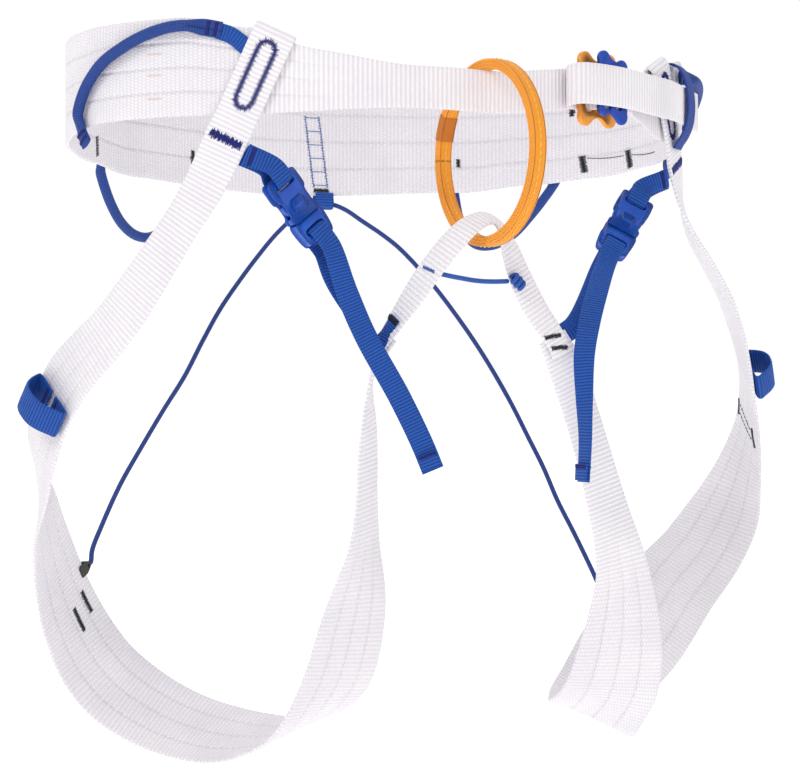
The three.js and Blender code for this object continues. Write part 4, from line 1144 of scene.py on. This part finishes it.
def elastic_clip(side, stations, place):
    """A small black hook over the band's edge, round the end of the elastic."""
    middle, half, along_web, _ = frame_on(stations, place)
    out = unit(half)
    up = np.cross(along_web, out)
    origin = middle + half + out * 0.2
    body = rounded([(-3.6, -0.1), (-3.6, 1.2), (-1.3, 5.3), (1.3, 5.3), (3.6, 1.2), (3.6, -0.1)])
    foot = rounded_box(-3.4, 3.4, -4.6, 0.6, 0.15)
    plates = [(body, -1.3, 1.3, 0.45, rounded_box(-0.8, 0.8, 2.6, 3.8, 0.25)), (foot, 0.95, 1.35, 0.15),
              (foot, -1.35, -0.95, 0.15)]
    hook = moulding(f"{side}_elastic_hook", basis(along_web, out, up, origin), plates, BLACK)
    settle(hook, f"{side}_leg", [f"{side}_elastic_clip"])


elastic_clip("right", RIGHT_BAND, 6.72 / 17)
elastic_clip("left", LEFT_BAND, 11.18 / 20)

# ------------------------------------------------------------------ short cord between the bridge straps
SHORT_CORD = [
    (-34.5, -110.5, -90.5), (-31.6, -112.6, -91.4), (-28, -114, -92.2), (-22, -114, -93),
    (-16, -112.8, -93.6), (-10, -112, -93.9), (-4, -111.4, -93.9), (1, -111, -93.7), (4.6, -111, -93.5),
]
CORD_DIAMETER, CORD_MIDDLE = 2.3, -13
line = even_points(SHORT_CORD, 0.8)
middle = int(np.argmin(np.abs(line[:, 0] - CORD_MIDDLE)))
WEAR["right_cord"] = ("belt", "right_leg", (-0.014, -0.1125, -0.0938), (-0.029, -0.1155, -0.092))
WEAR["left_cord"] = ("belt", "left_leg", (-0.012, -0.1123, -0.0938), (0.003, -0.111, -0.0936))
for side, part, nodes in (("right", line[: middle + 1], []), ("left", line[middle:], ["bridge_cord"])):
    piece = tube(f"{side}_bridge_cord_half", part, CORD_DIAMETER, LIGHT_CORD)
    settle(piece, f"{side}_cord", nodes)

# The cord's knot is wound round itself, with its axis on the strap's face.
KNOT_TURNS, KNOT_RADIUS, KNOT_PITCH = 3.2, 1.9, 2.5
out, ahead = (BRIDGE_WEB.row(of, BRIDGE_START + 111.8) for of in (BRIDGE_WEB.normal, BRIDGE_WEB.tangent))
axis = unit(ahead + 0.3 * np.cross(out, ahead))
out = unit(out - np.dot(out, axis) * axis)
t = np.linspace(-0.5, 0.5, int(KNOT_TURNS * 22))[:, None]
swell, spin = KNOT_RADIUS * (1 - 0.5 * (2 * t) ** 4), 2 * math.pi * KNOT_TURNS * t
path = BRIDGE_WEB.at(BRIDGE_START + 109.4, -4.6, 1, 2.9) + axis * (KNOT_PITCH * KNOT_TURNS * t)
path = path + swell * (out * np.cos(spin) + np.cross(axis, out) * np.sin(spin))
settle(tube("left_bridge_knot", path, CORD_DIAMETER, LIGHT_CORD, hint=axis), "left_leg")

# ------------------------------------------------------------------ floor, world and lights
FLOOR_LEVEL, FLOOR_REACH = -0.43, 60
corners = [(x * FLOOR_REACH, y * FLOOR_REACH, FLOOR_LEVEL) for x, y in ((-1, -1), (1, -1), (1, 1), (-1, 1))]
floor_mesh = bpy.data.meshes.new("floor")
floor_mesh.from_pydata(corners, [], [(0, 1, 2, 3)])
floor_mesh.materials.append(Nodes("floor").finished(
    Base_Color=(0.93, 0.93, 0.935, 1), Roughness=0.8, Emission_Color=(1, 1, 1, 1), Emission_Strength=0.38))
linked("floor", floor_mesh)

# The studio is a little brighter on the side behind the wearer.
world = bpy.data.worlds.new("studio")
world.use_nodes = True
bpy.context.scene.world = world
sky = world.node_tree
background = sky.nodes["Background"]
background.inputs["Color"].default_value = (1, 1, 1, 1)
direction = sky.nodes.new("ShaderNodeTexCoord")
toward = sky.nodes.new("ShaderNodeVectorMath")
toward.operation = "DOT_PRODUCT"
toward.inputs[1].default_value = (0.5, 0.866, 0)
strength = sky.nodes.new("ShaderNodeMapRange")
strength.interpolation_type = "SMOOTHSTEP"
for socket, value in zip(strength.inputs[1:5], (-0.4, 0.85, 0.7, 1.02)):
    socket.default_value = value
sky.links.new(direction.outputs["Generated"], toward.inputs[0])
sky.links.new(toward.outputs["Value"], strength.inputs[0])
sky.links.new(strength.outputs[0], background.inputs["Strength"])


def area_light(name, place, size, power, target=(0.01, 0, -0.14)):
    light = linked(name, bpy.data.lights.new(name, "AREA"))
    light.data.shape, light.data.size, light.data.energy = "DISK", size, power
    light.location = place
    light.rotation_euler = (Vector(target) - Vector(place)).to_track_quat("-Z", "Y").to_euler()


area_light("key", (-1.7, -0.9, 1.3), 0.7, 12)
area_light("fill", (0.9, -1.8, 0.3), 1.4, 2)
area_light("top", (0.2, 0.3, 1.9), 1.2, 5)
bpy.context.scene.view_settings.view_transform = "Standard"
